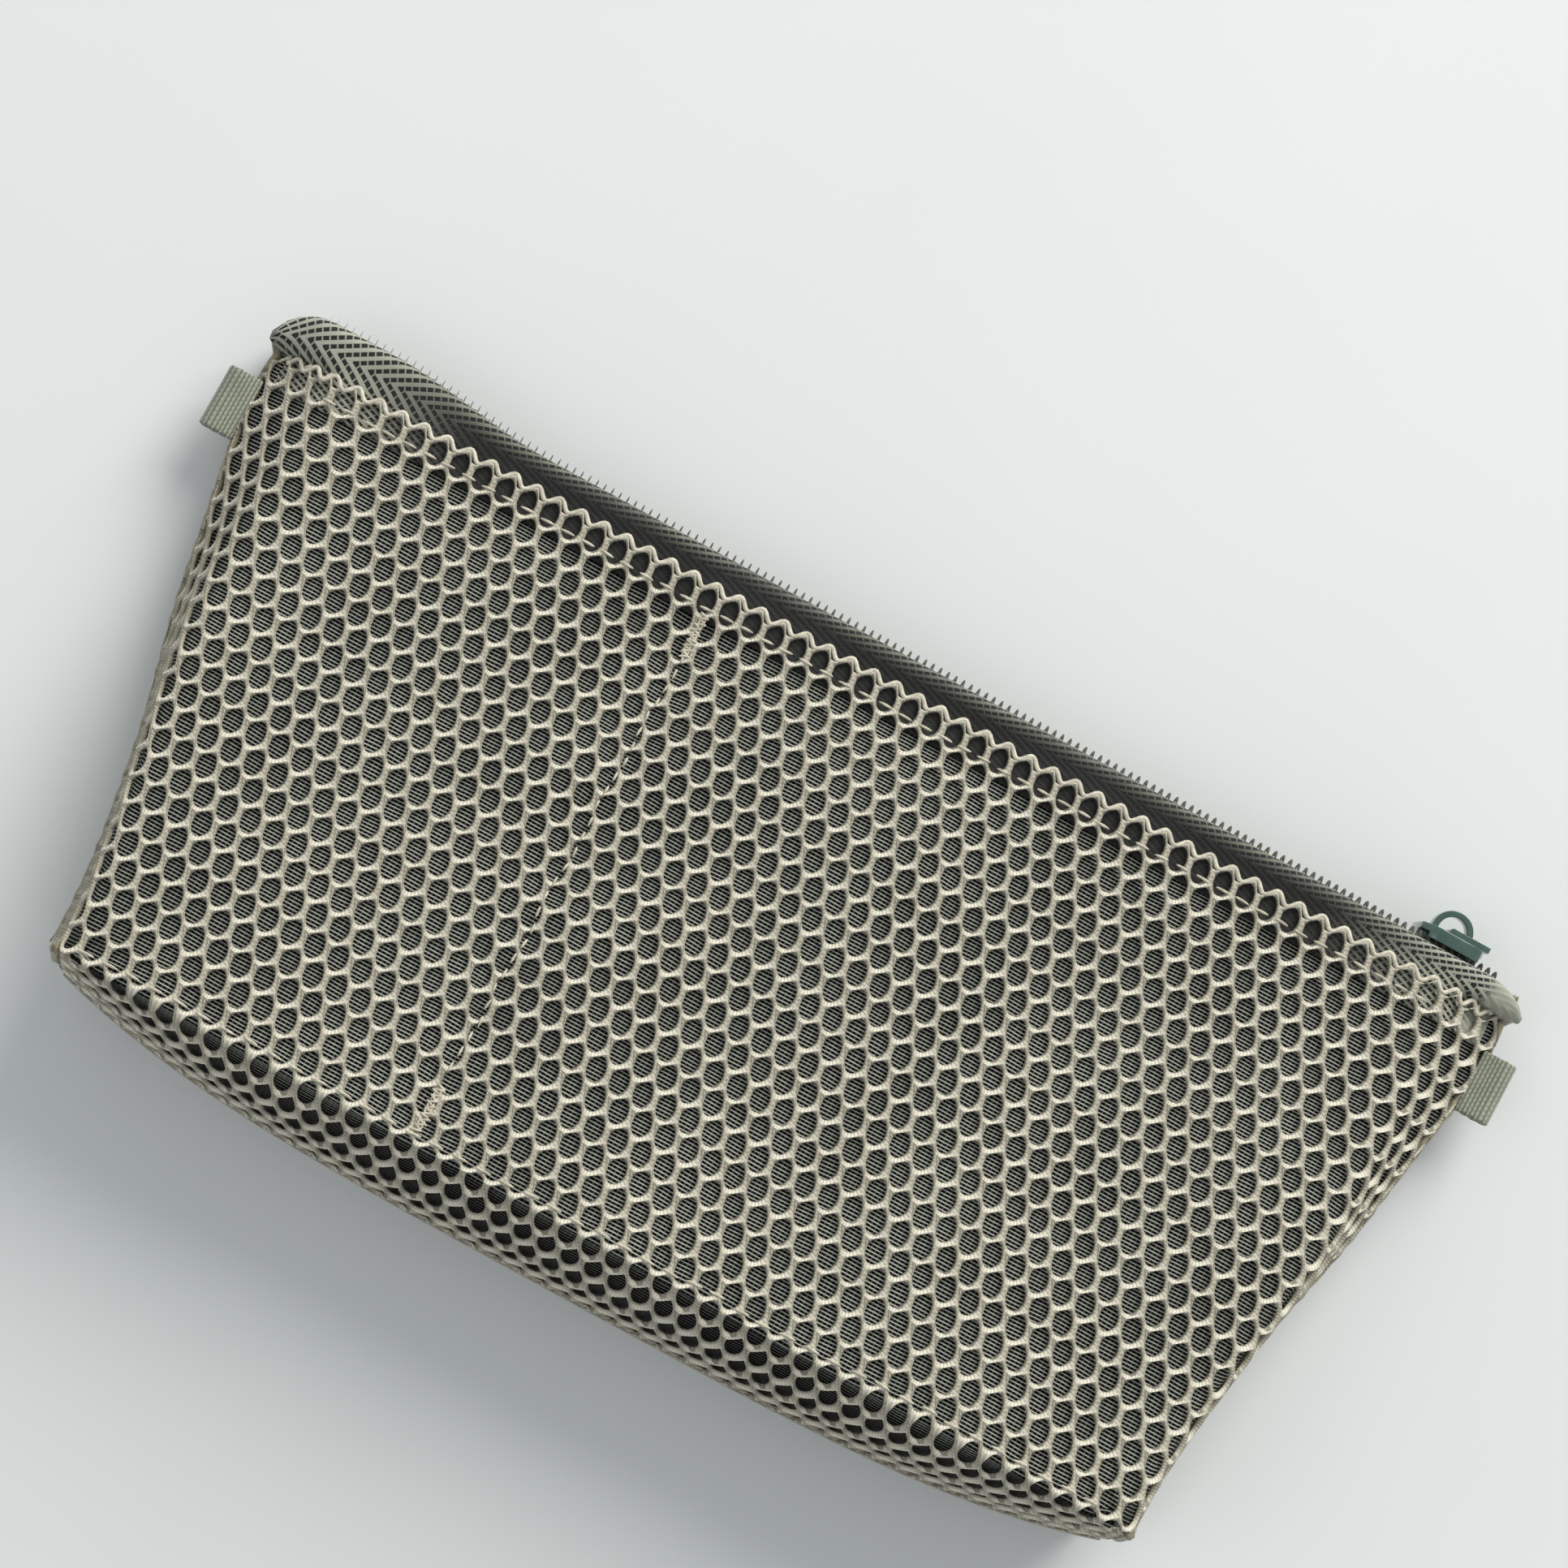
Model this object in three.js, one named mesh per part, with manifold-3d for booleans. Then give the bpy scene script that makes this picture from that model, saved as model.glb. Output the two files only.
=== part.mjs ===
// Boxed-bottom zip pouch in open net cloth over a sheer lining, lying on its back panel.
// Millimetres. X runs along the zip, Y from the bottom gusset to the zip, Z up.
import * as THREE from 'three';
import { mergeVertices } from 'three/addons/utils/BufferGeometryUtils.js';
import Module from 'manifold-3d';

// Driving sizes
const SIDE_SLOPE_TOP = 31;    // degrees by which the half side falls at the zip
const SIDE_SLOPE_FOOT = 80;   // and in the lower third
const CREASE_WIDTH = 170;     // bottom crease from corner tip to corner tip
const FOLD_TOP = 93;          // half width between the soft side folds by the zip
const FOLD_STRAIGHT = 35;     // the folds run straight this far down, then turn in
const GUSSET_DEPTH = 37;      // cloth of the boxed bottom from crease to crease
const PANEL_HEIGHT = 93;      // raw net edge at the zip to the bottom crease
const CREASE_HEIGHT = 33;     // top of the front crease over the floor
const TAPE_SHOWN = 4.6;       // zip tape showing past the raw net edge
const RAW_EDGE_Y = 44.93;     // places the bounding box on the origin
const NET_THICKNESS = 0.9;
const LINING_THICKNESS = 0.5;
const CLOTH_GAP = 0.3;        // free space kept between neighbouring cloths
const ZIP_AXIS_Z = 7.2;       // height of the closed zip above the floor
const GUSSET_BULGE = 7.6;     // the bottom seam bows out past the back crease
const TIP_BULGE = 1.2;        // and this much at the boxed corners

const COLUMNS_MIDDLE = 12;    // net cells between the two crease tips
const COLUMNS_SIDE = 2;       // net cells in each half side triangle
const ROWS_PANEL = 7;
const NET_HOLE_RATIO = 0.8;   // hole size over cell size

const ROW_THICKNESS = 2.2;    // zip row, across the zip plane
const ROW_WIDTH = 2.0;        // zip row, in the zip plane
const ROW_OFFSET = 3.6;       // row centre from the zip axis when the zip is open
const TOOTH_PITCH = 4.0;
const ROW_STRAIGHT = 96.4;    // rows run straight to here, then close in
const ROW_END = 102.6;
const TAPE_THICKNESS = 0.35;

const SLIDER_X = 90.5;         // rest place of the slider
const SLIDER_LENGTH = 10;
const SLIDE_FIT = 0.3;        // free play all round the rows in the slider
const SLIDER_WALL = 0.8;
const BLADE_THICKNESS = 1.1;
const SLOT_HALF = 0.55;       // tape slot in each flange
const BAIL_OUTER = 3.2;
const BAIL_STRAP = 0.95;
const BAIL_WIDTH = 2.2;
const PIVOT_HEIGHT = 0.85;    // puller pin above the outer blade
const PULLER_LENGTH = 6.0;
const PULLER_WIDTH = 4.5;
const PULLER_THICKNESS = 0.9;

const TAB_WIDTH = 10;
const TAB_REACH = 4.6;
const TAB_THICKNESS = 1.1;
const TAB_START = 5.2;        // first edge of the tab below the raw net edge

const DIVIDER_X = -29;        // stitched divider, about a third from the left end
const STITCH_THICKNESS = 0.4;

const HALF_CREASE = CREASE_WIDTH / 2;
const HALF_NET = NET_THICKNESS / 2;
const ZIP_Y = RAW_EDGE_Y + TAPE_SHOWN;
const FRONT_Z0 = 2 * ZIP_AXIS_Z - HALF_NET;
const FRONT_RISE = CREASE_HEIGHT - HALF_NET - FRONT_Z0;

// Looks
const material = (color, roughness, metalness = 0) =>
  new THREE.MeshStandardMaterial({ color, roughness, metalness });
const NET = material(0xbeb291, 0.85);
const LINING = material(0x5f6054, 0.8);
const TAPE = material(0x787d6e, 0.85);
const COIL = material(0xa9a892, 0.5);
const WEBBING = material(0x969b87, 0.85);
const ENAMEL = material(0x5f826e, 0.35, 0.1);
const THREAD = material(0xdcd7c3, 0.75);

const group = new THREE.Group();
group.name = 'wallet_pouch';

function addNode(name, geometry, look) {
  const mesh = new THREE.Mesh(geometry, look);
  mesh.name = name;
  group.add(mesh);
}

// The folded shape of the pouch
const clamp01 = (q) => Math.min(1, Math.max(0, q));
const smooth = (q) => clamp01(q) ** 2 * (3 - 2 * clamp01(q));
const mix = (p, q, w) => p + (q - p) * w;

// Middle line of a panel: distance below the raw edge and height over the floor.
function spine(v, side) {
  if (side < 0) return [-v, HALF_NET];
  const q = v / PANEL_HEIGHT;
  const z = FRONT_Z0 + FRONT_RISE * (0.72 * q + 0.28 * q * q);
  let y = 0;
  const steps = 24;
  for (let i = 0; i < steps; i += 1) {
    const s = (FRONT_RISE / PANEL_HEIGHT) * (0.72 + 0.56 * ((i + 0.5) / steps) * q);
    y -= (v / steps) * Math.sqrt(1 - s * s);
  }
  return [y, z];
}

const foldPlace = (v) => mix(FOLD_TOP, HALF_CREASE - 0.1,
  smooth((v - FOLD_STRAIGHT) / (PANEL_HEIGHT - FOLD_STRAIGHT)));
const foldReach = (v) => mix(3.2, 2.2, v / PANEL_HEIGHT);
const seamHalfGap = (v) => mix(0.66, 0.3, v / PANEL_HEIGHT);

// Walks across the cloth from the middle, over the side fold, to cloth distance m.
function walk(m, v, angle) {
  const start = foldPlace(v) - foldReach(v);
  if (m <= start) return [m, 0];
  let x = start;
  let drop = 0;
  const steps = 30;
  const h = (m - start) / steps;
  for (let i = 0; i < steps; i += 1) {
    const turn = angle * smooth(((i + 0.5) * h) / (2 * foldReach(v)));
    x += h * Math.cos(turn);
    drop += h * Math.sin(turn);
  }
  return [x, drop];
}

// Slope of the half side, in radians.
const foldAngle = (v) => (Math.PI / 180)
  * mix(SIDE_SLOPE_TOP, SIDE_SLOPE_FOOT, smooth(v / (PANEL_HEIGHT * 2 / 3)));

// Cloth distance from the middle to the side seam, which lies at half height.
const clothCache = new Map();
function halfCloth(v) {
  const key = Math.round(v * 1000);
  if (clothCache.has(key)) return clothCache.get(key);
  const need = (spine(v, 1)[1] - HALF_NET) / 2 - seamHalfGap(v);
  let low = foldPlace(v);
  let high = low + 40;
  for (let i = 0; i < 40; i += 1) {
    const mid = (low + high) / 2;
    if (walk(mid, v, foldAngle(v))[1] < need) low = mid;
    else high = mid;
  }
  clothCache.set(key, low);
  return low;
}

// Place on the pouch for cloth distance a from the middle and v below the raw edge.
function surface(a, v, side) {
  const sign = a < 0 ? -1 : 1;
  const m = Math.abs(a);
  const vp = Math.min(v, PANEL_HEIGHT);
  const [yp, zp] = spine(vp, side);
  const [x, drop] = walk(m, vp, foldAngle(vp));
  if (v <= PANEL_HEIGHT) {
    const start = foldPlace(vp) - foldReach(vp);
    const w = smooth((m - start) / (halfCloth(vp) - start));
    const seamY = (spine(vp, 1)[0] + spine(vp, -1)[0]) / 2;
    return new THREE.Vector3(sign * x, RAW_EDGE_Y + mix(yp, seamY, w), zp - side * drop);
  }
  const q = (v - PANEL_HEIGHT) / (GUSSET_DEPTH / 2);
  const bow = mix(TIP_BULGE, GUSSET_BULGE, 1 - (m / HALF_CREASE) ** 4);
  const round = 1.6 * Math.sin(Math.PI * q) * (1 - (m / HALF_CREASE) ** 4);
  const y = mix(yp, -PANEL_HEIGHT - bow, q) - round;
  const z = mix(zp - side * drop, CREASE_HEIGHT / 2 + side * seamHalfGap(PANEL_HEIGHT), q)
    + side * round * 0.6;
  return new THREE.Vector3(sign * x, RAW_EDGE_Y + y, z);
}

// Unit normal of the pouch surface, pointing out of the pouch.
function outward(a, v, side) {
  const e = 0.05;
  const pa = surface(a + e, v, side).sub(surface(a - e, v, side));
  const pv = surface(a, v - e, side).sub(surface(a, v + e, side));
  return pa.cross(pv).normalize().multiplyScalar(side);
}

// Closed solids from a sheet of polygons
// verts are the middle surface, faces run counter-clockwise seen from outside. outer and
// inner give the two skins as distances along the normal; hole is a ratio per face.
function thicken(verts, faces, outer, inner, hole) {
  const normals = verts.map(() => new THREE.Vector3());
  const faceNormals = faces.map((face) => {
    const n = new THREE.Vector3();
    face.forEach((p, i) => {
      n.add(new THREE.Vector3().crossVectors(verts[p], verts[face[(i + 1) % face.length]]));
    });
    face.forEach((p) => normals[p].add(n));
    return n.clone().normalize();
  });
  normals.forEach((n) => n.normalize());
  const points = [];
  const push = (p, n, d) => points.push(p.clone().addScaledVector(n, d)) - 1;
  const top = verts.map((p, i) => push(p, normals[i], outer(i)));
  const low = verts.map((p, i) => push(p, normals[i], inner(i)));
  const index = [];
  const tri = (a, b, c) => index.push(a, b, c);
  const quad = (a, b, c, d) => { tri(a, b, c); tri(a, c, d); };
  const edges = new Set();
  faces.forEach((face) => face.forEach((p, i) => edges.add(`${p}_${face[(i + 1) % face.length]}`)));
  faces.forEach((face, f) => {
    const count = face.length;
    const ratio = hole ? hole(face, f) : 0;
    const centre = new THREE.Vector3();
    face.forEach((p) => centre.addScaledVector(verts[p], 1 / count));
    const dOut = face.reduce((sum, p) => sum + outer(p), 0) / count;
    const dIn = face.reduce((sum, p) => sum + inner(p), 0) / count;
    if (ratio > 0) {
      const ringTop = [];
      const ringLow = [];
      face.forEach((p) => {
        const place = centre.clone().lerp(verts[p], ratio);
        const n = faceNormals[f].clone().lerp(normals[p], ratio).normalize();
        ringTop.push(push(place, n, dOut));
        ringLow.push(push(place, n, dIn));
      });
      face.forEach((p, i) => {
        const j = (i + 1) % count;
        quad(top[p], top[face[j]], ringTop[j], ringTop[i]);
        quad(low[face[j]], low[p], ringLow[i], ringLow[j]);
        quad(ringTop[i], ringTop[j], ringLow[j], ringLow[i]);
      });
    } else if (count > 4) {
      const ct = push(centre, faceNormals[f], dOut);
      const cl = push(centre, faceNormals[f], dIn);
      face.forEach((p, i) => {
        const next = face[(i + 1) % count];
        tri(top[p], top[next], ct);
        tri(low[next], low[p], cl);
      });
    } else {
      quad(...face.map((p) => top[p]));
      quad(...face.map((p) => low[p]).reverse());
    }
    face.forEach((p, i) => {
      const next = face[(i + 1) % count];
      if (!edges.has(`${next}_${p}`)) quad(top[next], top[p], low[p], low[next]);
    });
  });
  const geometry = new THREE.BufferGeometry();
  const flat = new Float32Array(points.length * 3);
  points.forEach((p, i) => flat.set([p.x, p.y, p.z], i * 3));
  geometry.setAttribute('position', new THREE.BufferAttribute(flat, 3));
  geometry.setIndex(index);
  geometry.computeVertexNormals();
  return geometry;
}

// A grid of quads placed by point(i, j); flip turns it over.
function sheet(nu, nv, point, flip, outer, inner) {
  const verts = [];
  for (let j = 0; j <= nv; j += 1) for (let i = 0; i <= nu; i += 1) verts.push(point(i, j));
  const at = (i, j) => j * (nu + 1) + i;
  const faces = [];
  for (let j = 0; j < nv; j += 1) {
    for (let i = 0; i < nu; i += 1) {
      const face = [at(i, j), at(i, j + 1), at(i + 1, j + 1), at(i + 1, j)];
      faces.push(flip ? face.reverse() : face);
    }
  }
  return thicken(verts, faces, () => outer, () => inner);
}

// Net and lining trays
const HALF_SIDE_COLUMNS = COLUMNS_SIDE * 2;
const HALF_COLUMNS = (COLUMNS_MIDDLE + COLUMNS_SIDE * 2) * 2;
const LAST_MIDDLE = HALF_COLUMNS - HALF_SIDE_COLUMNS;

function columnPlace(k, v) {
  if (k < HALF_SIDE_COLUMNS) {
    return -mix(halfCloth(v), HALF_CREASE, k / HALF_SIDE_COLUMNS);
  }
  if (k > LAST_MIDDLE) return -columnPlace(HALF_COLUMNS - k, v);
  return -HALF_CREASE + 2 * HALF_CREASE * ((k - HALF_SIDE_COLUMNS) / (COLUMNS_MIDDLE * 2));
}

const TIP_INSET = 2.6;        // opens the boxed corner between side and gusset
function trayMesh(side, sideInset, footInset) {
  const verts = [];
  const ids = new Map();
  const rowHeight = PANEL_HEIGHT / ROWS_PANEL;
  const vertex = (k, j) => {
    const key = `${k}_${j}`;
    if (ids.has(key)) return ids.get(key);
    const plain = j === 0 || j >= ROWS_PANEL;
    const inSide = k < HALF_SIDE_COLUMNS || k > LAST_MIDDLE;
    const swing = plain ? 0 : rowHeight * (inSide ? 0.1 : 0.16) * ((k + j) % 2 ? -1 : 1);
    const v = j > ROWS_PANEL ? PANEL_HEIGHT + GUSSET_DEPTH / 2 - footInset : rowHeight * j + swing;
    let a = columnPlace(k, v);
    const atEdge = k === 0 || k === HALF_COLUMNS;
    if (atEdge) a -= Math.sign(a) * sideInset(v);
    const atTip = k === HALF_SIDE_COLUMNS || k === LAST_MIDDLE;
    if (j > ROWS_PANEL && atTip) a -= Math.sign(a) * TIP_INSET;
    ids.set(key, verts.push(surface(a, v, side)) - 1);
    return ids.get(key);
  };
  const faces = [];
  const addCell = (k0, k1, j) => {
    const face = [];
    for (let k = k0; k <= k1; k += 1) face.unshift(vertex(k, j));
    const low = [];
    for (let k = k0; k <= k1; k += 1) low.push(vertex(k, j + 1));
    const loop = [...low, ...face];
    faces.push(side > 0 ? loop : loop.reverse());
  };
  for (let j = 0; j <= ROWS_PANEL; j += 1) {
    const first = j === ROWS_PANEL ? HALF_SIDE_COLUMNS : 0;
    const last = j === ROWS_PANEL ? LAST_MIDDLE : HALF_COLUMNS;
    let k = first;
    if ((first + j) % 2) { addCell(k, k + 1, j); k += 1; }
    while (k + 2 <= last) { addCell(k, k + 2, j); k += 2; }
    if (k < last) addCell(k, last, j);
  }
  return { verts, faces };
}

function netTray(side) {
  const { verts, faces } = trayMesh(side, () => 0, 0);
  return thicken(verts, faces, () => HALF_NET, () => -HALF_NET,
    (face) => (face.length === 6 ? NET_HOLE_RATIO : 0));
}

// The lining lies inside the net and steps in further where the zip tape lies between.
const LINING_OUT = HALF_NET + CLOTH_GAP;
const TAPE_STEP = 0.95;
const TIP_STEP = 2.6;
function liningTray(side) {
  const { verts, faces } = trayMesh(side, (v) => mix(3.2, 0.8, v / PANEL_HEIGHT), 0.7);
  const edgeRows = verts.map((p) => Math.abs(p.y - RAW_EDGE_Y) < 0.6);
  const tips = verts.map((p) => p.y < RAW_EDGE_Y - PANEL_HEIGHT + 3
    && Math.abs(Math.abs(p.x) - HALF_CREASE) < 3.5);
  const out = (i) => -LINING_OUT - (edgeRows[i] ? TAPE_STEP : 0) - (tips[i] ? TIP_STEP : 0);
  return thicken(verts, faces, out, (i) => out(i) - LINING_THICKNESS);
}

addNode('front_net_panel', netTray(1), NET);
addNode('back_net_panel', netTray(-1), NET);
addNode('front_lining', liningTray(1), LINING);
addNode('back_lining', liningTray(-1), LINING);

// Inner slip pocket hung behind the front lining
const POCKET_HALF = 78;
const POCKET_TOP = 10;
const POCKET_FOOT = 84;
const POCKET_CLOSE = 2.3;     // panel middle to net middle along the sewn lines
const POCKET_BELLY = 8.0;     // extra slack in the middle of each pocket
const pocketColumns = [-POCKET_HALF, -70, -54, -42, DIVIDER_X, -12, 6, 26, 46, 66, POCKET_HALF];
addNode('inner_pocket_panel', sheet(pocketColumns.length - 1, 6, (i, j) => {
  const a = pocketColumns[i];
  const v = mix(POCKET_TOP, POCKET_FOOT, j / 6);
  const left = a <= DIVIDER_X;
  const span = left ? POCKET_HALF + DIVIDER_X : POCKET_HALF - DIVIDER_X;
  const q = left ? (a + POCKET_HALF) / span : (a - DIVIDER_X) / span;
  const slack = Math.sin(Math.PI * q) ** 0.7
    * mix(0.4, 1, smooth(j / 2)) * mix(1, 0, smooth((j - 3.4) / 2.6));
  return surface(a, v, 1).addScaledVector(outward(a, v, 1), -POCKET_CLOSE - POCKET_BELLY * slack);
}, false, LINING_THICKNESS / 2, -LINING_THICKNESS / 2), LINING);

// Zip
// Past the straight run both rows and both tapes close in on the zip axis.
const closing = (x) => smooth((Math.abs(x) - ROW_STRAIGHT) / (ROW_END - ROW_STRAIGHT));
const rowLift = (x) => mix(ROW_OFFSET, ROW_WIDTH / 2 + 0.25, closing(x));

function zipRow(side) {
  const count = Math.round((2 * ROW_END) / TOOTH_PITCH);
  const pitch = (2 * ROW_END) / count;
  const outline = [];
  const root = ROW_WIDTH / 2;
  const valley = 0.1;
  const put = (x, local) => outline.push(new THREE.Vector2(x, side * (rowLift(x) + local)));
  put(-ROW_END, root);
  put(-ROW_END, valley);
  for (let i = 0; i < count; i += 1) {
    const x = -ROW_END + pitch * i;
    put(x + pitch * 0.22, valley);
    put(x + pitch * 0.32, -root);
    put(x + pitch * 0.68, -root);
    put(x + pitch * 0.78, valley);
  }
  put(ROW_END, valley);
  put(ROW_END, root);
  [99.5, ROW_STRAIGHT, -ROW_STRAIGHT, -99.5].forEach((x) => put(x, root));
  const geometry = new THREE.ExtrudeGeometry(new THREE.Shape(outline),
    { depth: ROW_THICKNESS, bevelEnabled: false });
  geometry.rotateX(Math.PI / 2);
  geometry.translate(0, ZIP_Y + ROW_THICKNESS / 2, ZIP_AXIS_Z);
  return geometry;
}

// Tape section from its sewn edge out past the net and round to the row, as pairs of
// distance past the raw edge and height over the zip axis.
const TAPE_FLAT = ZIP_AXIS_Z - NET_THICKNESS - CLOTH_GAP - TAPE_THICKNESS / 2;
const SLIDER_HALF_Z = ROW_OFFSET + ROW_WIDTH / 2 + SLIDE_FIT + SLIDER_WALL;
const TAPE_CREST = SLIDER_HALF_Z + 0.5 + TAPE_THICKNESS / 2;
const ROW_OUTSIDE = ROW_OFFSET + ROW_WIDTH / 2;
const tapeSection = [
  [-5.4, TAPE_FLAT], [0.4, TAPE_FLAT], [1.7, TAPE_CREST], [TAPE_SHOWN - 0.75, TAPE_CREST],
  [TAPE_SHOWN - 0.1, TAPE_CREST - 0.55], [TAPE_SHOWN, ROW_OUTSIDE + 0.2],
];
function zipTape(side) {
  const half = [46, HALF_CREASE, 89.75, 94.5, 97.8, 99.25, 101.8];
  const xs = [...half.map((x) => -x).reverse(), 0, ...half];
  return sheet(xs.length - 1, tapeSection.length - 1, (i, j) => {
    const x = xs[i];
    const [past, height] = tapeSection[tapeSection.length - 1 - j];
    if (past < 1) {
      const deep = HALF_NET + CLOTH_GAP + TAPE_THICKNESS / 2 + 0.04;
      const p = surface(x, -past, side);
      return p.addScaledVector(outward(x, -past, side), -deep);
    }
    const shut = closing(x);
    const atRow = past >= TAPE_SHOWN - 0.2 ? 1 : 0.72;
    const lower = (ROW_OFFSET - ROW_WIDTH / 2 - 0.25) * shut * atRow;
    return new THREE.Vector3(x, RAW_EDGE_Y + past, ZIP_AXIS_Z + side * (height - lower));
  }, side < 0, TAPE_THICKNESS / 2, -TAPE_THICKNESS / 2);
}

addNode('zip_tape_front', zipTape(1), TAPE);
addNode('zip_tape_back', zipTape(-1), TAPE);
addNode('zip_coil_front', zipRow(1), COIL);
addNode('zip_coil_back', zipRow(-1), COIL);

function box(sx, sy, sz, x, y, z) {
  const geometry = new THREE.BoxGeometry(sx, sy, sz);
  geometry.translate(x, y, z);
  return geometry;
}
[['left', -1], ['right', 1]].forEach(([name, s]) => {
  addNode(`zip_end_stop_${name}`,
    box(1.4, 2.6, 5.6, s * (ROW_END + 1.0), ZIP_Y - 0.2, ZIP_AXIS_Z), THREAD);
});

// Slider and puller
const wasm = await Module();
wasm.setup();

// A closed solid for cuts and joins, made of a three.js geometry.
function toSolid(geometry) {
  const bare = new THREE.BufferGeometry();
  bare.setAttribute('position', geometry.getAttribute('position'));
  if (geometry.index) bare.setIndex(geometry.index);
  const merged = mergeVertices(bare, 1e-4);
  return new wasm.Manifold(new wasm.Mesh({
    numProp: 3,
    vertProperties: merged.getAttribute('position').array,
    triVerts: Uint32Array.from(merged.getIndex().array),
  }));
}

function toGeometry(solid) {
  const mesh = solid.getMesh();
  const flat = new Float32Array((mesh.vertProperties.length / mesh.numProp) * 3);
  for (let i = 0; i < flat.length / 3; i += 1) {
    for (let c = 0; c < 3; c += 1) flat[i * 3 + c] = mesh.vertProperties[i * mesh.numProp + c];
  }
  const geometry = new THREE.BufferGeometry();
  geometry.setAttribute('position', new THREE.BufferAttribute(flat, 3));
  geometry.setIndex(Array.from(mesh.triVerts));
  return geometry;
}
const block = (sx, sy, sz, x, y, z) => toSolid(box(sx, sy, sz, x, y, z));
const plate = (outline, depth) => new THREE.ExtrudeGeometry(
  new THREE.Shape(outline.map(([x, y]) => new THREE.Vector2(x, y))), { depth, bevelEnabled: false });

// Slider about its own centre: rows run along X, the blades face +Y and -Y.
const MASK_HALF = 6;            // reaches past both blades
const channelY = ROW_THICKNESS + 2 * SLIDE_FIT;
const bladeTop = channelY / 2 + BLADE_THICKNESS;
function sliderBody() {
  let solid = block(SLIDER_LENGTH, 2 * bladeTop, 2 * SLIDER_HALF_Z, 0, 0, 0);
  const channelZ = ROW_WIDTH + 2 * SLIDE_FIT;
  [-1, 1].forEach((s) => {
    solid = solid.subtract(block(SLIDER_LENGTH + 2, channelY, channelZ, 0, 0, s * ROW_OFFSET));
    solid = solid.subtract(
      block(SLIDER_LENGTH + 2, 2 * SLOT_HALF, 3, 0, 0, s * (SLIDER_HALF_Z)));
  });
  const hw = SLIDER_HALF_Z;
  const hl = SLIDER_LENGTH / 2;
  const outline = [
    [-hl, -hw + 2.4], [-hl + 1.4, -hw + 0.5], [-hl + 2.8, -hw], [hl - 1.6, -hw], [hl - 0.5, -hw + 0.6],
    [hl, -hw + 1.8], [hl, hw - 1.8], [hl - 0.5, hw - 0.6], [hl - 1.6, hw], [-hl + 2.8, hw],
    [-hl + 1.4, hw - 0.5], [-hl, hw - 2.4],
  ];
  // Extruded along Z, then stood up so that the outline lies in X and Z.
  const mask = plate(outline, 2 * MASK_HALF).translate(0, 0, -MASK_HALF).rotateX(Math.PI / 2);
  solid = solid.intersect(toSolid(mask));
  const arch = [];
  const inside = [];
  for (let i = 0; i <= 14; i += 1) {
    const t = Math.PI * (i / 14);
    arch.push([BAIL_OUTER * Math.cos(t), PIVOT_HEIGHT + BAIL_OUTER * Math.sin(t)]);
    const r = BAIL_OUTER - BAIL_STRAP;
    inside.push([r * Math.cos(t), PIVOT_HEIGHT + r * Math.sin(t)]);
  }
  const footed = [[BAIL_OUTER, -0.4], ...arch, [-BAIL_OUTER, -0.4],
    [-BAIL_OUTER + BAIL_STRAP, -0.4], ...inside.reverse(), [BAIL_OUTER - BAIL_STRAP, -0.4]];
  const bail = plate(footed, BAIL_WIDTH).translate(0, bladeTop, -BAIL_WIDTH / 2);
  return solid.add(toSolid(bail));
}

// Puller with its pin under the bail and an eye round one bail leg, pointing along +X.
function puller() {
  const eyeReach = BAIL_OUTER + SLIDE_FIT + 0.1;
  const eyeWidth = BAIL_WIDTH + 2 * SLIDE_FIT;
  const pin = 0.5;
  let solid = block(PULLER_LENGTH, PULLER_THICKNESS, PULLER_WIDTH, PULLER_LENGTH / 2, 0, 0);
  solid = solid.subtract(block(eyeReach - pin + 6, 3, eyeWidth, (eyeReach + pin) / 2 - 3, 0, 0));
  const rod = new THREE.CylinderGeometry(pin, pin, PULLER_WIDTH, 16).rotateX(Math.PI / 2);
  return solid.add(toSolid(rod));
}

const sliderPlace = [SLIDER_X, ZIP_Y, ZIP_AXIS_Z];
const pivotPlace = [SLIDER_X, ZIP_Y + bladeTop + PIVOT_HEIGHT, ZIP_AXIS_Z];
addNode('slider_body', toGeometry(sliderBody()).translate(...sliderPlace), ENAMEL);
addNode('slider_puller', toGeometry(puller()).translate(...pivotPlace), ENAMEL);

// Webbing tabs at the side seams
function tab(sign) {
  const v = TAB_START + TAB_WIDTH / 2;
  const seam = surface(halfCloth(v), v, 1);
  const z = (seam.z + surface(halfCloth(v), v, -1).z) / 2;
  const start = Math.max(surface(halfCloth(TAB_START), TAB_START, 1).x, seam.x) + 0.4;
  const half = 1.9;
  const shape = new THREE.Shape();
  const end = start + TAB_REACH;
  const corner = half * 0.9;
  shape.moveTo(start, z - half * 0.55);
  shape.lineTo(end - corner * 1.6, z - half);
  shape.quadraticCurveTo(end, z - half, end, z);
  shape.quadraticCurveTo(end, z + half, end - corner * 1.6, z + half);
  shape.lineTo(start, z + half * 0.55);
  shape.closePath();
  const hole = new THREE.Path();
  hole.moveTo(start + 1.6, z - 0.35);
  hole.lineTo(start + 1.6, z + 0.35);
  hole.lineTo(end - corner * 1.2, z + half - TAB_THICKNESS);
  hole.lineTo(end - TAB_THICKNESS, z);
  hole.lineTo(end - corner * 1.2, z - half + TAB_THICKNESS);
  hole.closePath();
  shape.holes.push(hole);
  const geometry = new THREE.ExtrudeGeometry(shape,
    { depth: TAB_WIDTH, bevelEnabled: false, curveSegments: 5 });
  geometry.rotateX(Math.PI / 2);
  geometry.translate(0, seam.y + TAB_WIDTH / 2, 0);
  if (sign < 0) geometry.rotateZ(Math.PI).translate(0, 2 * seam.y, 0);
  return geometry;
}
addNode('tab_right', tab(1), WEBBING);
addNode('tab_left', tab(-1), WEBBING);

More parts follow.
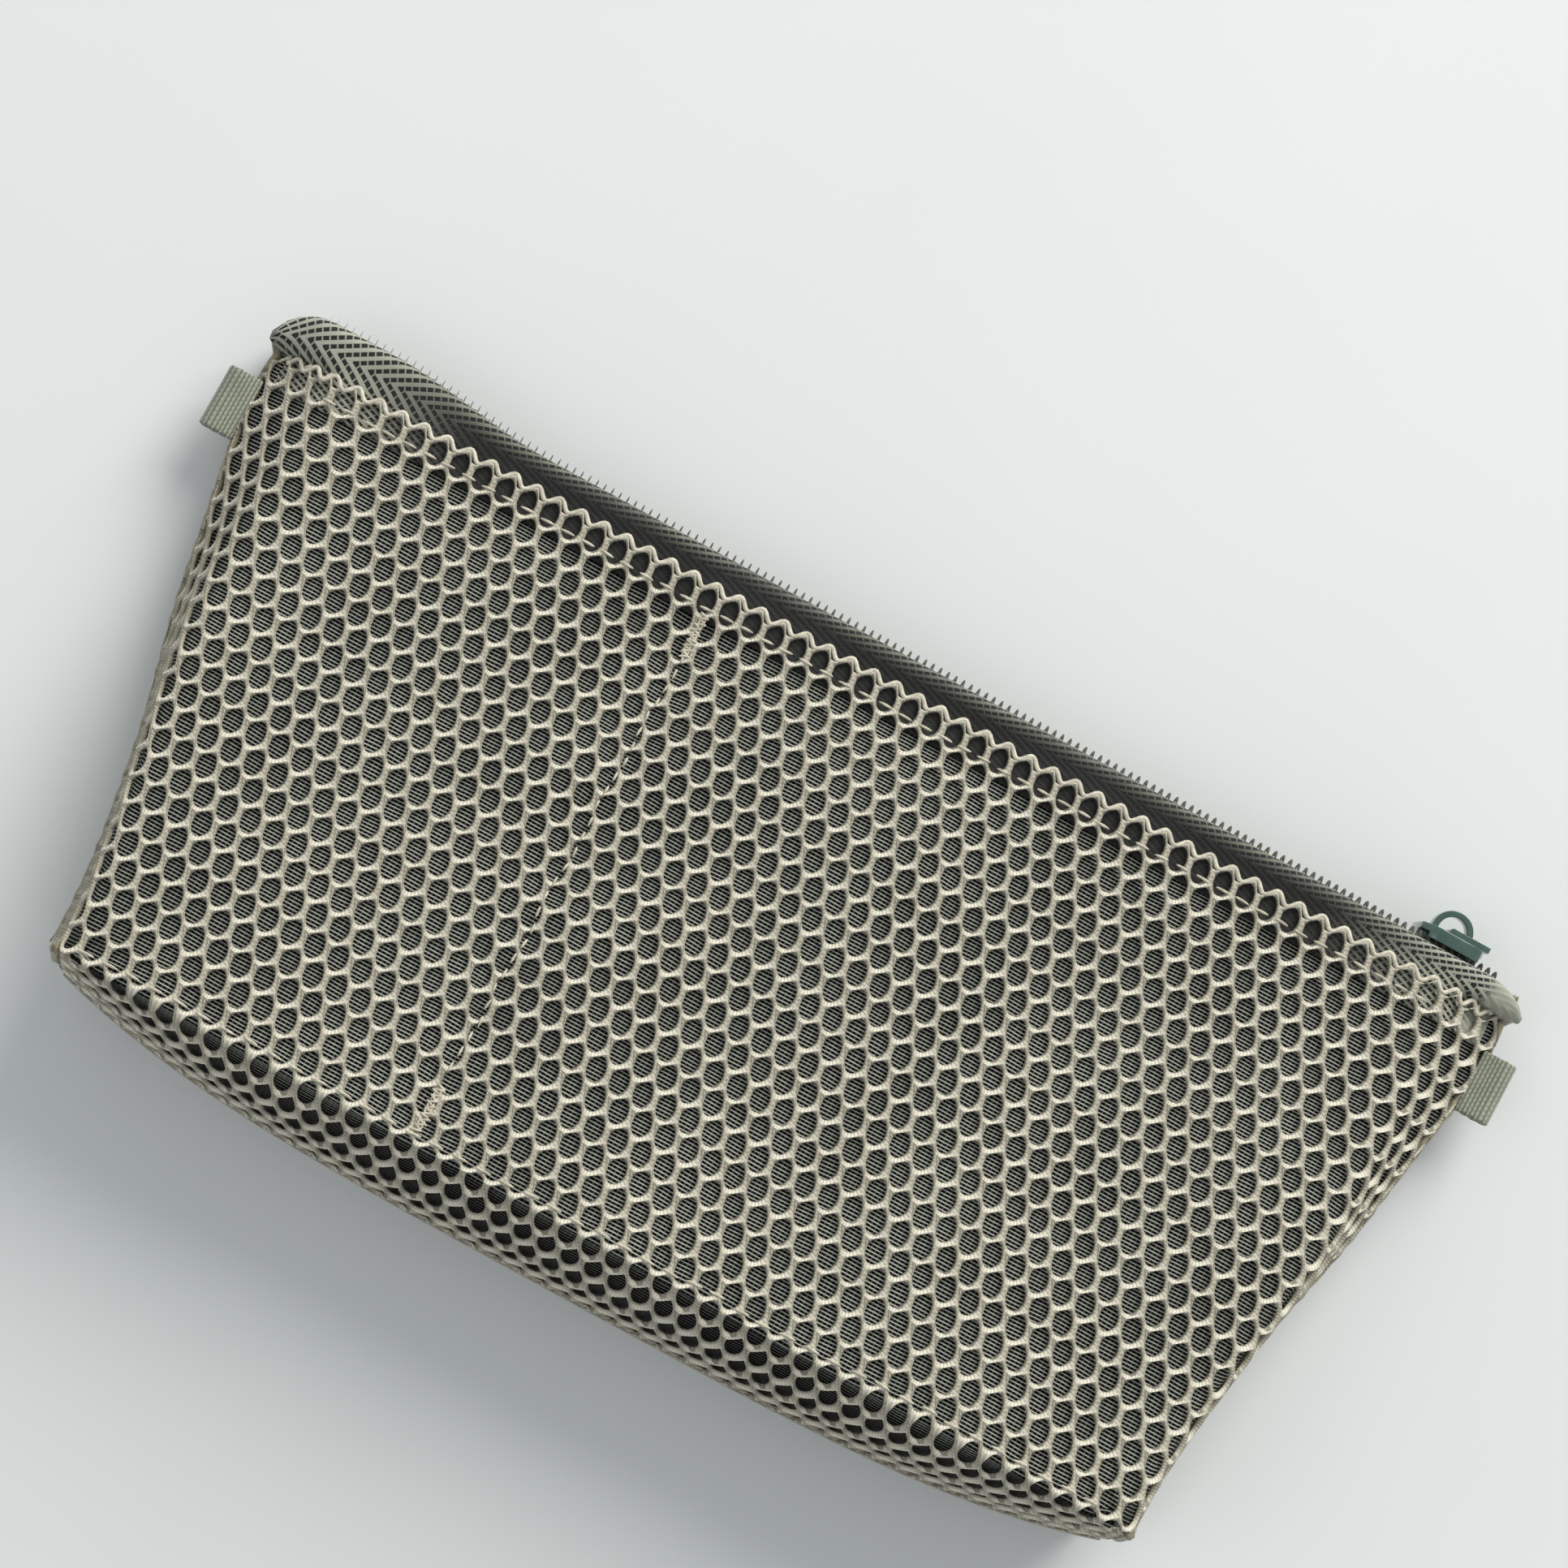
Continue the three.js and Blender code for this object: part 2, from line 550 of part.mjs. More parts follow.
// Bound seam allowances inside
function sideBinding(sign) {
  const points = [];
  for (let i = 0; i <= 8; i += 1) {
    const v = mix(24, 87, i / 8);
    const p = surface(halfCloth(v), v, 1);
    const q = surface(halfCloth(v), v, -1);
    points.push(new THREE.Vector3(sign * (p.x - 3.3), (p.y + q.y) / 2, (p.z + q.z) / 2));
  }
  const round = new THREE.Shape();
  round.absarc(0, 0, 1.0, 0, Math.PI * 2, false);
  return new THREE.ExtrudeGeometry(round, { steps: 10, curveSegments: 5, bevelEnabled: false,
    extrudePath: new THREE.CatmullRomCurve3(points) });
}
addNode('side_binding_left', sideBinding(-1), TAPE);
addNode('side_binding_right', sideBinding(1), TAPE);

const BINDING_HALF = 2.6;
addNode('bottom_binding', sheet(14, 1, (i, j) => {
  const a = mix(-76, 76, i / 14);
  const p = surface(a, PANEL_HEIGHT + GUSSET_DEPTH / 2, 1);
  const inset = LINING_OUT + LINING_THICKNESS + 2.35;
  return new THREE.Vector3(p.x, p.y + inset, CREASE_HEIGHT / 2 + (j ? -1 : 1) * BINDING_HALF);
}, false, 0.4, -0.4), TAPE);

// Stitched lines on the front
const STITCH_LOW = HALF_NET + 0.12;
function stitchStrip(points) {
  return sheet(points.length - 1, 1, (i, j) => points[i][j], false,
    STITCH_LOW + STITCH_THICKNESS, STITCH_LOW);
}
function stitchAcross(v, half, from, to, steps) {
  const points = [];
  for (let i = 0; i <= steps; i += 1) {
    const a = mix(from, to, i / steps);
    points.push([surface(a, v - half, 1), surface(a, v + half, 1)]);
  }
  return stitchStrip(points);
}
function stitchDown(a, half, from, to, steps) {
  return sheet(1, steps, (i, j) => surface(a + (i ? half : -half), mix(from, to, j / steps), 1),
    false, STITCH_LOW + STITCH_THICKNESS, STITCH_LOW);
}
addNode('zip_seam_stitch', stitchAcross(3.9, 0.3, -90, 90, 12), THREAD);
addNode('crease_stitch', stitchAcross(92.2, 0.3, -82, 82, 12), THREAD);
addNode('divider_stitch', stitchDown(DIVIDER_X, 0.3, 11.9, 82.6, 12), THREAD);
addNode('divider_tack_top', stitchDown(DIVIDER_X, 0.7, 4.8, 11.5, 2), THREAD);
addNode('divider_tack_foot', stitchDown(DIVIDER_X, 0.7, 83.4, 91.2, 2), THREAD);

export default group;
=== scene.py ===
import math

import bmesh
import bpy
import numpy as np
from mathutils import Matrix, Vector


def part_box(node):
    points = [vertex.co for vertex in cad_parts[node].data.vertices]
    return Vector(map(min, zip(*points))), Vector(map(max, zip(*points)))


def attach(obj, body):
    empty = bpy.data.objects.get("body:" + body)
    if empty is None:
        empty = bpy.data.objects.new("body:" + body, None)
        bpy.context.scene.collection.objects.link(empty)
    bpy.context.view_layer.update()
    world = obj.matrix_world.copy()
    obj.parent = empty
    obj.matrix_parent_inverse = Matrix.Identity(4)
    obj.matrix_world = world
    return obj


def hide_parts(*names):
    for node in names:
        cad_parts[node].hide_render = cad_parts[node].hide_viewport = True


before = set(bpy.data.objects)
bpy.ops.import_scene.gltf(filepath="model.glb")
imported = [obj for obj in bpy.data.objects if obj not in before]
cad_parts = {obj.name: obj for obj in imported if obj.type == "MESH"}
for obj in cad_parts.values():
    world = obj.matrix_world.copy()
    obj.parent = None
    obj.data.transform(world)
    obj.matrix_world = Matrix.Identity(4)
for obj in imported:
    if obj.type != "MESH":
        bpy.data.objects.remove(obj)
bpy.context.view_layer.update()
scene = bpy.context.scene
scene.view_settings.view_transform = "Standard"

# Camera
RIGHT = (0.87726, 0.47807, 0.04310)
UP = (-0.47995, 0.87499, 0.06355)
BACK = (-0.00733, -0.07644, 0.99705)
EYE = (-0.01077, -0.01404, 0.51077)
LENS, SENSOR, NEAREST = 78.43, 36, 0.01
camera_data = bpy.data.cameras.new("camera")
camera_data.lens = LENS
camera_data.sensor_width = SENSOR
camera_data.clip_start = NEAREST
camera = bpy.data.objects.new("camera", camera_data)
rows = [[RIGHT[i], UP[i], BACK[i], EYE[i]] for i in range(3)]
camera.matrix_world = Matrix(rows + [[0, 0, 0, 1]])
scene.collection.objects.link(camera)
scene.camera = camera

# The folded shape, as in the solids
MM = 0.001                                    # lengths are worked out in millimetres
PANEL, GUSSET, HALF_CREASE, HALF_NET = 93.0, 18.5, 85.0, 0.45
RAW_Y, CREASE_Z, ZIP_Z, ZIP_Y = 44.93, 33.0, 7.2, 49.53
FOLD_TOP, FOLD_FROM = 93.0, 35                # the side folds run in from this width, below this place
REACH_TOP, REACH_FOOT = 3.2, 2.2              # half the cloth that turns round a side fold
GAP_TOP, GAP_FOOT = 0.66, 0.3                 # room at the side seam
SLOPE_TOP, SLOPE_FOOT = 31.0, 80.0            # degrees past the side fold
EARLY_RISE, LATE_RISE = 0.72, 0.28            # share of the front's rise from zip to crease
SPINE_STEPS, FOLD_STEPS = 24, 30
FRONT_Z0 = 2 * ZIP_Z - HALF_NET
RISE = CREASE_Z - HALF_NET - FRONT_Z0
DIVIDER = -29.0


def smooth(q):
    q = np.clip(q, 0, 1)
    return q * q * (3 - 2 * q)


def mix(p, q, w):
    return p + (q - p) * w


def spine(v, side):
    """The panel's middle line: how far behind the raw edge, and how high."""
    v = np.asarray(v, float)
    if side < 0:
        return -v, v * 0 + HALF_NET
    q = v / PANEL
    y = v * 0
    for i in range(SPINE_STEPS):
        s = (RISE / PANEL) * (EARLY_RISE + 2 * LATE_RISE * ((i + 0.5) / SPINE_STEPS) * q)
        y = y - (v / SPINE_STEPS) * np.sqrt(1 - s * s)
    return y, FRONT_Z0 + RISE * (EARLY_RISE * q + LATE_RISE * q * q)


def fold_place(v):
    return mix(FOLD_TOP, HALF_CREASE - 0.1, smooth((v - FOLD_FROM) / (PANEL - FOLD_FROM)))


def fold_reach(v):
    return mix(REACH_TOP, REACH_FOOT, v / PANEL)


def seam_gap(v):
    return mix(GAP_TOP, GAP_FOOT, v / PANEL)


def fold_angle(v):
    return np.radians(mix(SLOPE_TOP, SLOPE_FOOT, smooth(v / (PANEL * 2 / 3))))


def walk(m, v):
    """Follows the cloth for m from the middle, round the side fold: how far out and how far down."""
    start = fold_place(v) - fold_reach(v)
    past = np.maximum(m - start, 0)
    x, drop = np.minimum(m, start), m * 0.0
    h = past / FOLD_STEPS
    for i in range(FOLD_STEPS):
        turn = fold_angle(v) * smooth((i + 0.5) * h / (2 * fold_reach(v)))
        x = x + h * np.cos(turn)
        drop = drop + h * np.sin(turn)
    return x, drop


V_TABLE = np.linspace(0, PANEL, 187)
low, high = fold_place(V_TABLE), fold_place(V_TABLE) + 40
need = (spine(V_TABLE, 1)[1] - HALF_NET) / 2 - seam_gap(V_TABLE)
for _ in range(40):
    middle = (low + high) / 2
    short = walk(middle, V_TABLE)[1] < need
    low, high = np.where(short, middle, low), np.where(short, high, middle)
HALF_TABLE = low


def half_cloth(v):
    """Cloth from the middle to the side seam."""
    return np.interp(v, V_TABLE, HALF_TABLE)


def surface(a, v, side):
    """The smooth pouch: panels, turned sides, and below the crease the boxed bottom."""
    sign, m = np.where(a < 0, -1.0, 1.0), np.abs(a)
    vp = np.minimum(v, PANEL)
    yp, zp = spine(vp, side)
    x, drop = walk(m, vp)
    start = fold_place(vp) - fold_reach(vp)
    w = smooth((m - start) / (half_cloth(vp) - start))
    seam_y = (spine(vp, 1)[0] + spine(vp, -1)[0]) / 2
    y1, z1 = mix(yp, seam_y, w), zp - side * drop
    q = np.clip((v - PANEL) / GUSSET, 0, 1)
    belly = 1 - (np.minimum(m, HALF_CREASE) / HALF_CREASE) ** 4
    bulge = 1.6 * np.sin(np.pi * q) * belly
    y2 = mix(yp, -PANEL - mix(1.2, 7.6, belly), q) - bulge
    z2 = mix(zp - side * drop, CREASE_Z / 2 + side * 0.3, q) + side * bulge * 0.6
    low_part = v > PANEL
    return np.stack([sign * x, RAW_Y + np.where(low_part, y2, y1), np.where(low_part, z2, z1)], 1)


def swell(a, v, side):
    """Soft unevenness of the cloth along its normal; the side that lies on the floor keeps flat."""
    if side < 0:
        return a * 0
    inside = smooth((half_cloth(np.minimum(v, PANEL)) - np.abs(a)) / 22) * smooth((106 - v) / 10)
    wave = (0.42 * np.sin(a / 17.0 + v / 23.0 + 0.7) + 0.34 * np.sin(a / 9.5 - v / 14.0 + 2.1)
            + 0.20 * np.sin(a / 5.1 + v / 7.7 + 4.0)) * smooth(v / 12)
    seam = np.exp(-((a - DIVIDER) / 3.2) ** 2) * smooth((v - 3) / 6) * smooth((93 - v) / 4)
    pucker = np.exp(-((a - DIVIDER) / 7.0) ** 2) * np.sin(v / 1.35 + 0.6 * np.sin(v / 5.0))
    crease = np.exp(-((v - 91.5) / 3.0) ** 2) * (0.35 * np.sin(a / 2.3) + 0.3 * np.sin(a / 5.9 + 1))
    return inside * (wave - 0.85 * seam + 0.16 * pucker * smooth((v - 3) / 6) + crease * 0.7)


def place(a, v, side, lift):
    """Point of the pouch for cloth place (a, v), lifted along the outward normal, in millimetres."""
    e = 0.05
    pa = surface(a + e, v, side) - surface(a - e, v, side)
    pv = surface(a, v - e, side) - surface(a, v + e, side)
    n = np.cross(pa, pv) * side
    n /= np.maximum(np.linalg.norm(n, axis=1, keepdims=True), 1e-9)
    return surface(a, v, side) + n * (lift + swell(a, v, side))[:, None]


# Helpers for pieces
def coords(mesh):
    co = np.empty(len(mesh.vertices) * 3)
    mesh.vertices.foreach_get("co", co)
    return co.reshape(-1, 3)


def set_coords(mesh, co):
    mesh.vertices.foreach_set("co", np.asarray(co, np.float32).ravel())
    mesh.update()


def corner_verts(mesh):
    index = np.empty(len(mesh.loops), np.int32)
    mesh.loops.foreach_get("vertex_index", index)
    return index


def write_uv(mesh, name, values):
    layer = mesh.uv_layers.get(name) or mesh.uv_layers.new(name=name)
    layer.uv.foreach_set("vector", np.asarray(values, np.float32).ravel())


def to_mesh(bm, name):
    mesh = bpy.data.meshes.new(name)
    bm.to_mesh(mesh)
    bm.free()
    return mesh


def piece(name, mesh, look, body="pouch", replaces=()):
    mesh.materials.clear()
    mesh.materials.append(look)
    mesh.polygons.foreach_set("use_smooth", np.full(len(mesh.polygons), True))
    obj = bpy.data.objects.new(name, mesh)
    scene.collection.objects.link(obj)
    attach(obj, body)
    if replaces:
        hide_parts(*replaces)
    return obj


def outside(mesh):
    """Faces of a closed piece are turned outward."""
    bm = bmesh.new()
    bm.from_mesh(mesh)
    bmesh.ops.recalc_face_normals(bm, faces=bm.faces)
    bm.to_mesh(mesh)
    bm.free()


def modifier(obj, kind, **values):
    m = obj.modifiers.new(kind.lower(), kind)
    for key, value in values.items():
        setattr(m, key, value)
    return m


# Materials
class Look:
    def __init__(self, name):
        self.material = bpy.data.materials.new(name)
        self.material.use_nodes = True
        self.tree = self.material.node_tree
        self.tree.nodes.clear()
        self.out = self.tree.nodes.new("ShaderNodeOutputMaterial")
        self.bsdf = self.tree.nodes.new("ShaderNodeBsdfPrincipled")
        self.tree.links.new(self.bsdf.outputs[0], self.out.inputs[0])

    def put(self, socket, value):
        if isinstance(value, bpy.types.NodeSocket):
            self.tree.links.new(value, socket)
        elif value is not None:
            socket.default_value = value

    def set(self, **values):
        for key, value in values.items():
            self.put(self.bsdf.inputs[key.replace("_", " ")], value)
        return self

    def math(self, op, a, b=None, c=None):
        n = self.tree.nodes.new("ShaderNodeMath")
        n.operation = op
        for i, value in enumerate((a, b, c)):
            self.put(n.inputs[i], value)
        return n.outputs[0]

    def uv(self, name):
        n = self.tree.nodes.new("ShaderNodeUVMap")
        n.uv_map = name
        s = self.tree.nodes.new("ShaderNodeSeparateXYZ")
        self.tree.links.new(n.outputs[0], s.inputs[0])
        return s.outputs[0], s.outputs[1]

    def noise(self, scale, detail):
        t = self.tree.nodes.new("ShaderNodeTexCoord")
        n = self.tree.nodes.new("ShaderNodeTexNoise")
        self.tree.links.new(t.outputs["Object"], n.inputs["Vector"])
        n.inputs["Scale"].default_value = scale
        n.inputs["Detail"].default_value = detail
        n.inputs["Roughness"].default_value = 0.55
        return n.outputs[0]

    def mottle(self, tone, low, high):
        """A colour that drifts between two tones."""
        return self.blend(self.ramp(tone, 0.3, 0.7, 0.0, 1.0), low, high)

    def ramp(self, value, low_in, high_in, low_out, high_out):
        n = self.tree.nodes.new("ShaderNodeMapRange")
        n.interpolation_type = "SMOOTHSTEP"
        for i, x in enumerate((value, low_in, high_in, low_out, high_out)):
            self.put(n.inputs[i], x)
        return n.outputs[0]

    def wave(self, value, pitch):
        """0 to 1 along value, once for each pitch."""
        turn = self.math("MULTIPLY_ADD", value, 2 * math.pi / pitch, 0.0)
        return self.math("MULTIPLY_ADD", self.math("SINE", turn), 0.5, 0.5)

    def blend(self, factor, a, b):
        n = self.tree.nodes.new("ShaderNodeMix")
        n.data_type = "RGBA"
        self.put(n.inputs[0], factor)
        for socket, value in ((n.inputs[6], a), (n.inputs[7], b)):
            self.put(socket, value if isinstance(value, bpy.types.NodeSocket) else (*value, 1.0))
        return n.outputs[2]

    def bump(self, height, distance, strength):
        n = self.tree.nodes.new("ShaderNodeBump")
        n.inputs["Strength"].default_value = strength
        n.inputs["Distance"].default_value = distance
        self.tree.links.new(height, n.inputs["Height"])
        self.tree.links.new(n.outputs[0], self.bsdf.inputs["Normal"])


# Colours of the finishes: the shaded one first, then the low and the high tone
YARN_DARK, YARN_LOW, YARN_HIGH = (0.075, 0.058, 0.034), (0.77, 0.72, 0.545), (0.94, 0.89, 0.715)
# The arc tone is a painted highlight: the net's arcs are drawn paler than its cords, as if lit
YARN_ARC_HIGHLIGHT = (0.97, 0.925, 0.76)
LINING_GAP, LINING_LINE = (0.0008, 0.0009, 0.0008), (0.50, 0.52, 0.45)
POCKET_GAP, POCKET_LINE = (0.012, 0.013, 0.011), (0.36, 0.385, 0.325)
TAPE_GAP, TAPE_LOW, TAPE_HIGH = (0.0025, 0.0027, 0.002), (0.14, 0.147, 0.11), (0.26, 0.27, 0.205)
# Painted shade for the tape by the net's raw edge, and painted light for the tape's paler ends
TAPE_RAW_EDGE_SHADE, TAPE_LIT_ENDS = (0.004, 0.0042, 0.0035), (0.40, 0.41, 0.325)
WEBBING_GAP, WEBBING_LOW, WEBBING_HIGH = (0.05, 0.052, 0.038), (0.26, 0.28, 0.205), (0.36, 0.385, 0.29)
COIL_LOW, COIL_HIGH = (0.27, 0.275, 0.215), (0.44, 0.44, 0.36)
ENAMEL_LOW, ENAMEL_HIGH = (0.028, 0.072, 0.052), (0.055, 0.110, 0.084)
FLOOR_LOW, FLOOR_HIGH = (0.72, 0.745, 0.73), (0.78, 0.80, 0.785)


def net_look():
    """Twisted yarn: grooved along the cords, smoother on the arcs; painted shade along the cords' groove and
    at the rim of each hole, painted highlight on the arcs.
    """
    k = Look("net_yarn")
    along, across = k.uv("yarn")
    twist = k.wave(k.math("MULTIPLY_ADD", across, 0.35, along), 1 / 26)
    sideways = k.math("POWER", k.math("COSINE", k.math("MULTIPLY", along, 2 * math.pi)), 2.0)
    # painted shade along the groove in the middle of each cord, deeper on the upright cords; the groove also
    # drives the bump
    middle = k.ramp(across, 0.0, 0.22, 1.0, 0.0)
    depth = k.math("MULTIPLY_ADD", sideways, 0.6, 0.4)
    groove = k.math("SUBTRACT", 1.0, k.math("MULTIPLY", middle, depth))
    # rim: painted shade, darkening the yarn at each hole's rim as if in the strand's shadow
    rim = k.ramp(across, 0.68, 0.98, 1.0, 0.0)
    tone = k.noise(180, 4)
    # painted highlight: the arcs take the paler arc tone, the cords the mottled yarn tone
    tone_with_arc_highlight = k.blend(sideways, YARN_ARC_HIGHLIGHT, k.mottle(tone, YARN_LOW, YARN_HIGH))
    # shade: painted shade from the cord groove and the hole rim, times the yarn's twist lines; the dark yarn
    # tone is the painted shade tone
    shade = k.math("MULTIPLY", k.ramp(groove, 0.0, 1.0, 0.45, 1.0), k.ramp(rim, 0.0, 1.0, 0.33, 1.0))
    shade = k.math("MULTIPLY", shade, k.ramp(twist, 0.1, 0.6, 0.75, 1.0))
    k.set(Base_Color=k.blend(shade, YARN_DARK, tone_with_arc_highlight),
          Roughness=k.ramp(tone, 0.3, 0.7, 0.55, 0.75), Sheen_Weight=0.06)
    k.bump(k.math("MULTIPLY_ADD", twist, 0.6, k.math("MULTIPLY", groove, 0.6)), 0.00012, 0.8)
    return k.material


def lining_look(name, line, gap, grid):
    """Sheer cloth: pale weft lines over dark gaps, with a weaker warp, and painted shade down the steep boxed
    bottom.
    """
    k = Look(name)
    a, v = k.uv("cloth")
    drift = k.math("MULTIPLY", k.noise(60, 2), 1.1)
    weft = k.wave(k.math("ADD", v, drift), 0.56)
    warp = k.wave(k.math("ADD", a, drift), 0.72)
    lines = k.ramp(weft, 0.66, 0.90, 0.0, 1.0)
    cross = k.math("MULTIPLY", k.ramp(warp, 0.62, 0.92, 0.0, 1.0), grid)
    cloth = k.math("MAXIMUM", lines, cross)
    tone = k.noise(45, 3)
    thread = k.blend(k.ramp(tone, 0.35, 0.65, 0.0, 1.0), tuple(0.72 * c for c in line), line)
    # painted shade: the lining darkens down the steep boxed bottom
    gusset_shade = k.ramp(v, 91, 97, 1.0, 0.22)
    k.set(Base_Color=k.blend(k.math("MULTIPLY", cloth, gusset_shade), gap, thread),
          Roughness=k.ramp(cloth, 0.0, 1.0, 0.9, 0.45), Specular_IOR_Level=0.12)
    k.bump(cloth, 0.00008, 0.6)
    return k.material


def tape_look():
    """Herringbone twill turned at the tape's middle, with painted shade from under the net's raw edge fading
    out towards the coil, and painted light on the paler ends.
    """
    k = Look("zip_tape_weave")
    a, s = k.uv("cloth")
    fold = k.math("ABSOLUTE", k.math("SUBTRACT", s, 7.4))
    twill = k.wave(k.math("MULTIPLY_ADD", fold, -0.94, k.math("MULTIPLY", a, 0.34)), 0.86)
    dash = k.wave(k.math("MULTIPLY_ADD", fold, 0.8, a), 1.25)
    plain = k.ramp(a, 97, 100, 0.0, 1.0)
    gap = k.math("MAXIMUM", k.ramp(twill, 0.34, 0.66, 0.0, 1.0), k.ramp(dash, 0.80, 0.97, 0.0, 0.8))
    gap = k.math("MAXIMUM", gap, k.math("MULTIPLY", plain, 0.8))
    fine = k.wave(a, 0.28)
    tone = k.noise(90, 3)
    cloth = k.mottle(tone, TAPE_LOW, TAPE_HIGH)
    # painted shade: the tape is darkest under and just past the net's raw edge and clears towards the coil
    edge = k.ramp(s, 6.8, 10.6, 0.03, 1.0)
    cloth = k.blend(edge, TAPE_RAW_EDGE_SHADE, cloth)
    # painted light: the tape turns paler towards its ends, where it faces the light more
    ends = k.ramp(k.math("ABSOLUTE", a), 70, 96, 0.0, 1.0)
    cloth = k.blend(ends, cloth, TAPE_LIT_ENDS)
    k.set(Base_Color=k.blend(gap, TAPE_GAP, cloth),
          Roughness=k.ramp(tone, 0.3, 0.7, 0.6, 0.8), Sheen_Weight=0.15)
    k.bump(k.math("MULTIPLY_ADD", fine, 0.3, gap), 0.00015, 0.8)
    return k.material


def webbing_look():
    """Ribbed webbing with staggered picks."""
    k = Look("webbing")
    a, s = k.uv("cloth")
    rib_pitch = 0.62
    rib = k.wave(s, rib_pitch)
    stagger = k.math("SIGN", k.math("SINE", k.math("MULTIPLY", s, math.pi / rib_pitch)))
    pick = k.wave(k.math("MULTIPLY_ADD", stagger, 0.2, a), 0.8)
    tone = k.noise(120, 3)
    cloth = k.mottle(tone, WEBBING_LOW, WEBBING_HIGH)
    shade = k.math("MULTIPLY", k.ramp(rib, 0.0, 0.5, 0.35, 1.0), k.ramp(pick, 0.0, 0.5, 0.72, 1.0))
    k.set(Base_Color=k.blend(shade, WEBBING_GAP, cloth),
          Roughness=k.ramp(tone, 0.3, 0.7, 0.6, 0.8), Sheen_Weight=0.2)
    k.bump(shade, 0.00018, 0.8)
    return k.material


def thread_look(name, light, dark):
    k = Look(name)
    tone = k.noise(900, 3)
    k.set(Base_Color=k.mottle(tone, dark, light),
          Roughness=k.ramp(tone, 0.3, 0.7, 0.45, 0.7), Sheen_Weight=0.2)
    k.bump(tone, 0.0001, 0.6)
    return k.material


def coil_look():
    k = Look("nylon_coil")
    tone = k.noise(260, 3)
    k.set(Base_Color=k.mottle(tone, COIL_LOW, COIL_HIGH),
          Roughness=k.ramp(tone, 0.3, 0.7, 0.32, 0.5), Subsurface_Weight=0.05)
    k.bump(tone, 0.00003, 0.4)
    return k.material


def enamel_look():
    k = Look("enamelled_metal")
    tone = k.noise(140, 4)
    fine = k.noise(1500, 2)
    k.set(Base_Color=k.blend(k.ramp(tone, 0.35, 0.65, 0.0, 1.0), ENAMEL_LOW, ENAMEL_HIGH),
          Roughness=k.ramp(fine, 0.3, 0.7, 0.14, 0.26), Coat_Weight=0.8, Coat_Roughness=0.08,
          Specular_IOR_Level=0.6)
    k.bump(fine, 0.00002, 0.35)
    return k.material


NET_LOOK = net_look()
LINING_LOOK = lining_look("sheer_lining", LINING_LINE, LINING_GAP, 0.10)
POCKET_LOOK = lining_look("sheer_pocket", POCKET_LINE, POCKET_GAP, 0.85)
TAPE_LOOK = tape_look()
WEBBING_LOOK = webbing_look()
COIL_LOOK = coil_look()
ENAMEL_LOOK = enamel_look()
THREAD_LOOK = thread_look("sewing_thread", (0.66, 0.62, 0.49), (0.40, 0.36, 0.27))
EDGE_LOOK = thread_look("raw_edge_yarn", (0.70, 0.66, 0.53), (0.44, 0.40, 0.31))
SEAM_LOOK = thread_look("seam_yarn", (0.33, 0.29, 0.19), (0.14, 0.12, 0.08))


# Net cloth
PITCH, ROW = 3.74, 3.80
HALF_FLAT = 27.5 * PITCH
FIRST_ROW = 3.0
ALONG = np.array((PITCH / 2, ROW))            # way of the straight cords between the holes
CHORD = np.array((PITCH, 0)) - ALONG / 2      # the hanging arcs join one cord to the next
FOOT = np.array((-0.47, 2.45))
HANG = ((0.14, 0.42), (0.40, 0.66), (0.72, 0.42))   # share of the chord, and how far the arc hangs
HANG_WAY = np.array((0.56, 0.828))
HOLE_RADII = np.array((1.34, 1.99))           # the holes stand upright to the zip
CREST_SHARE = 0.42                            # place of the bright ridge between border and hole
STRAND_TOP, STRAND_LOW, HOLE_EDGE = 0.46, -0.42, -0.12
CORD_GROOVE, JOINT_RIDGE, ARC_RIDGE = 0.22, 0.32, 0.41
UPPER_INSETS, LOWER_INSETS = (0.13, 0.27), (0.40,)
COLUMNS, ROW_PAIRS, MIDDLE_COLUMN = 57, 15, 28
WELD, THIN = 0.004, 0.002                     # joins neighbouring cells, drops slivers


def cell_outline():
    """Border of one net cell, 16 points with their ridge heights: arc, cord, arc, cord."""
    arc = [FOOT] + [FOOT + CHORD * f + HANG_WAY * sag for f, sag in HANG] + [FOOT + CHORD]
    right = [FOOT + CHORD - ALONG * f for f in (0.25, 0.5, 0.75)]
    left = [FOOT - ALONG * f for f in (0.75, 0.5, 0.25)]
    points = arc + right + [p - ALONG for p in arc[::-1]] + left
    arc_z = [JOINT_RIDGE, ARC_RIDGE, ARC_RIDGE, ARC_RIDGE, JOINT_RIDGE]
    cord_z = [CORD_GROOVE, JOINT_RIDGE, CORD_GROOVE]
    return [(*p, z) for p, z in zip(points, arc_z + cord_z + arc_z + cord_z)]


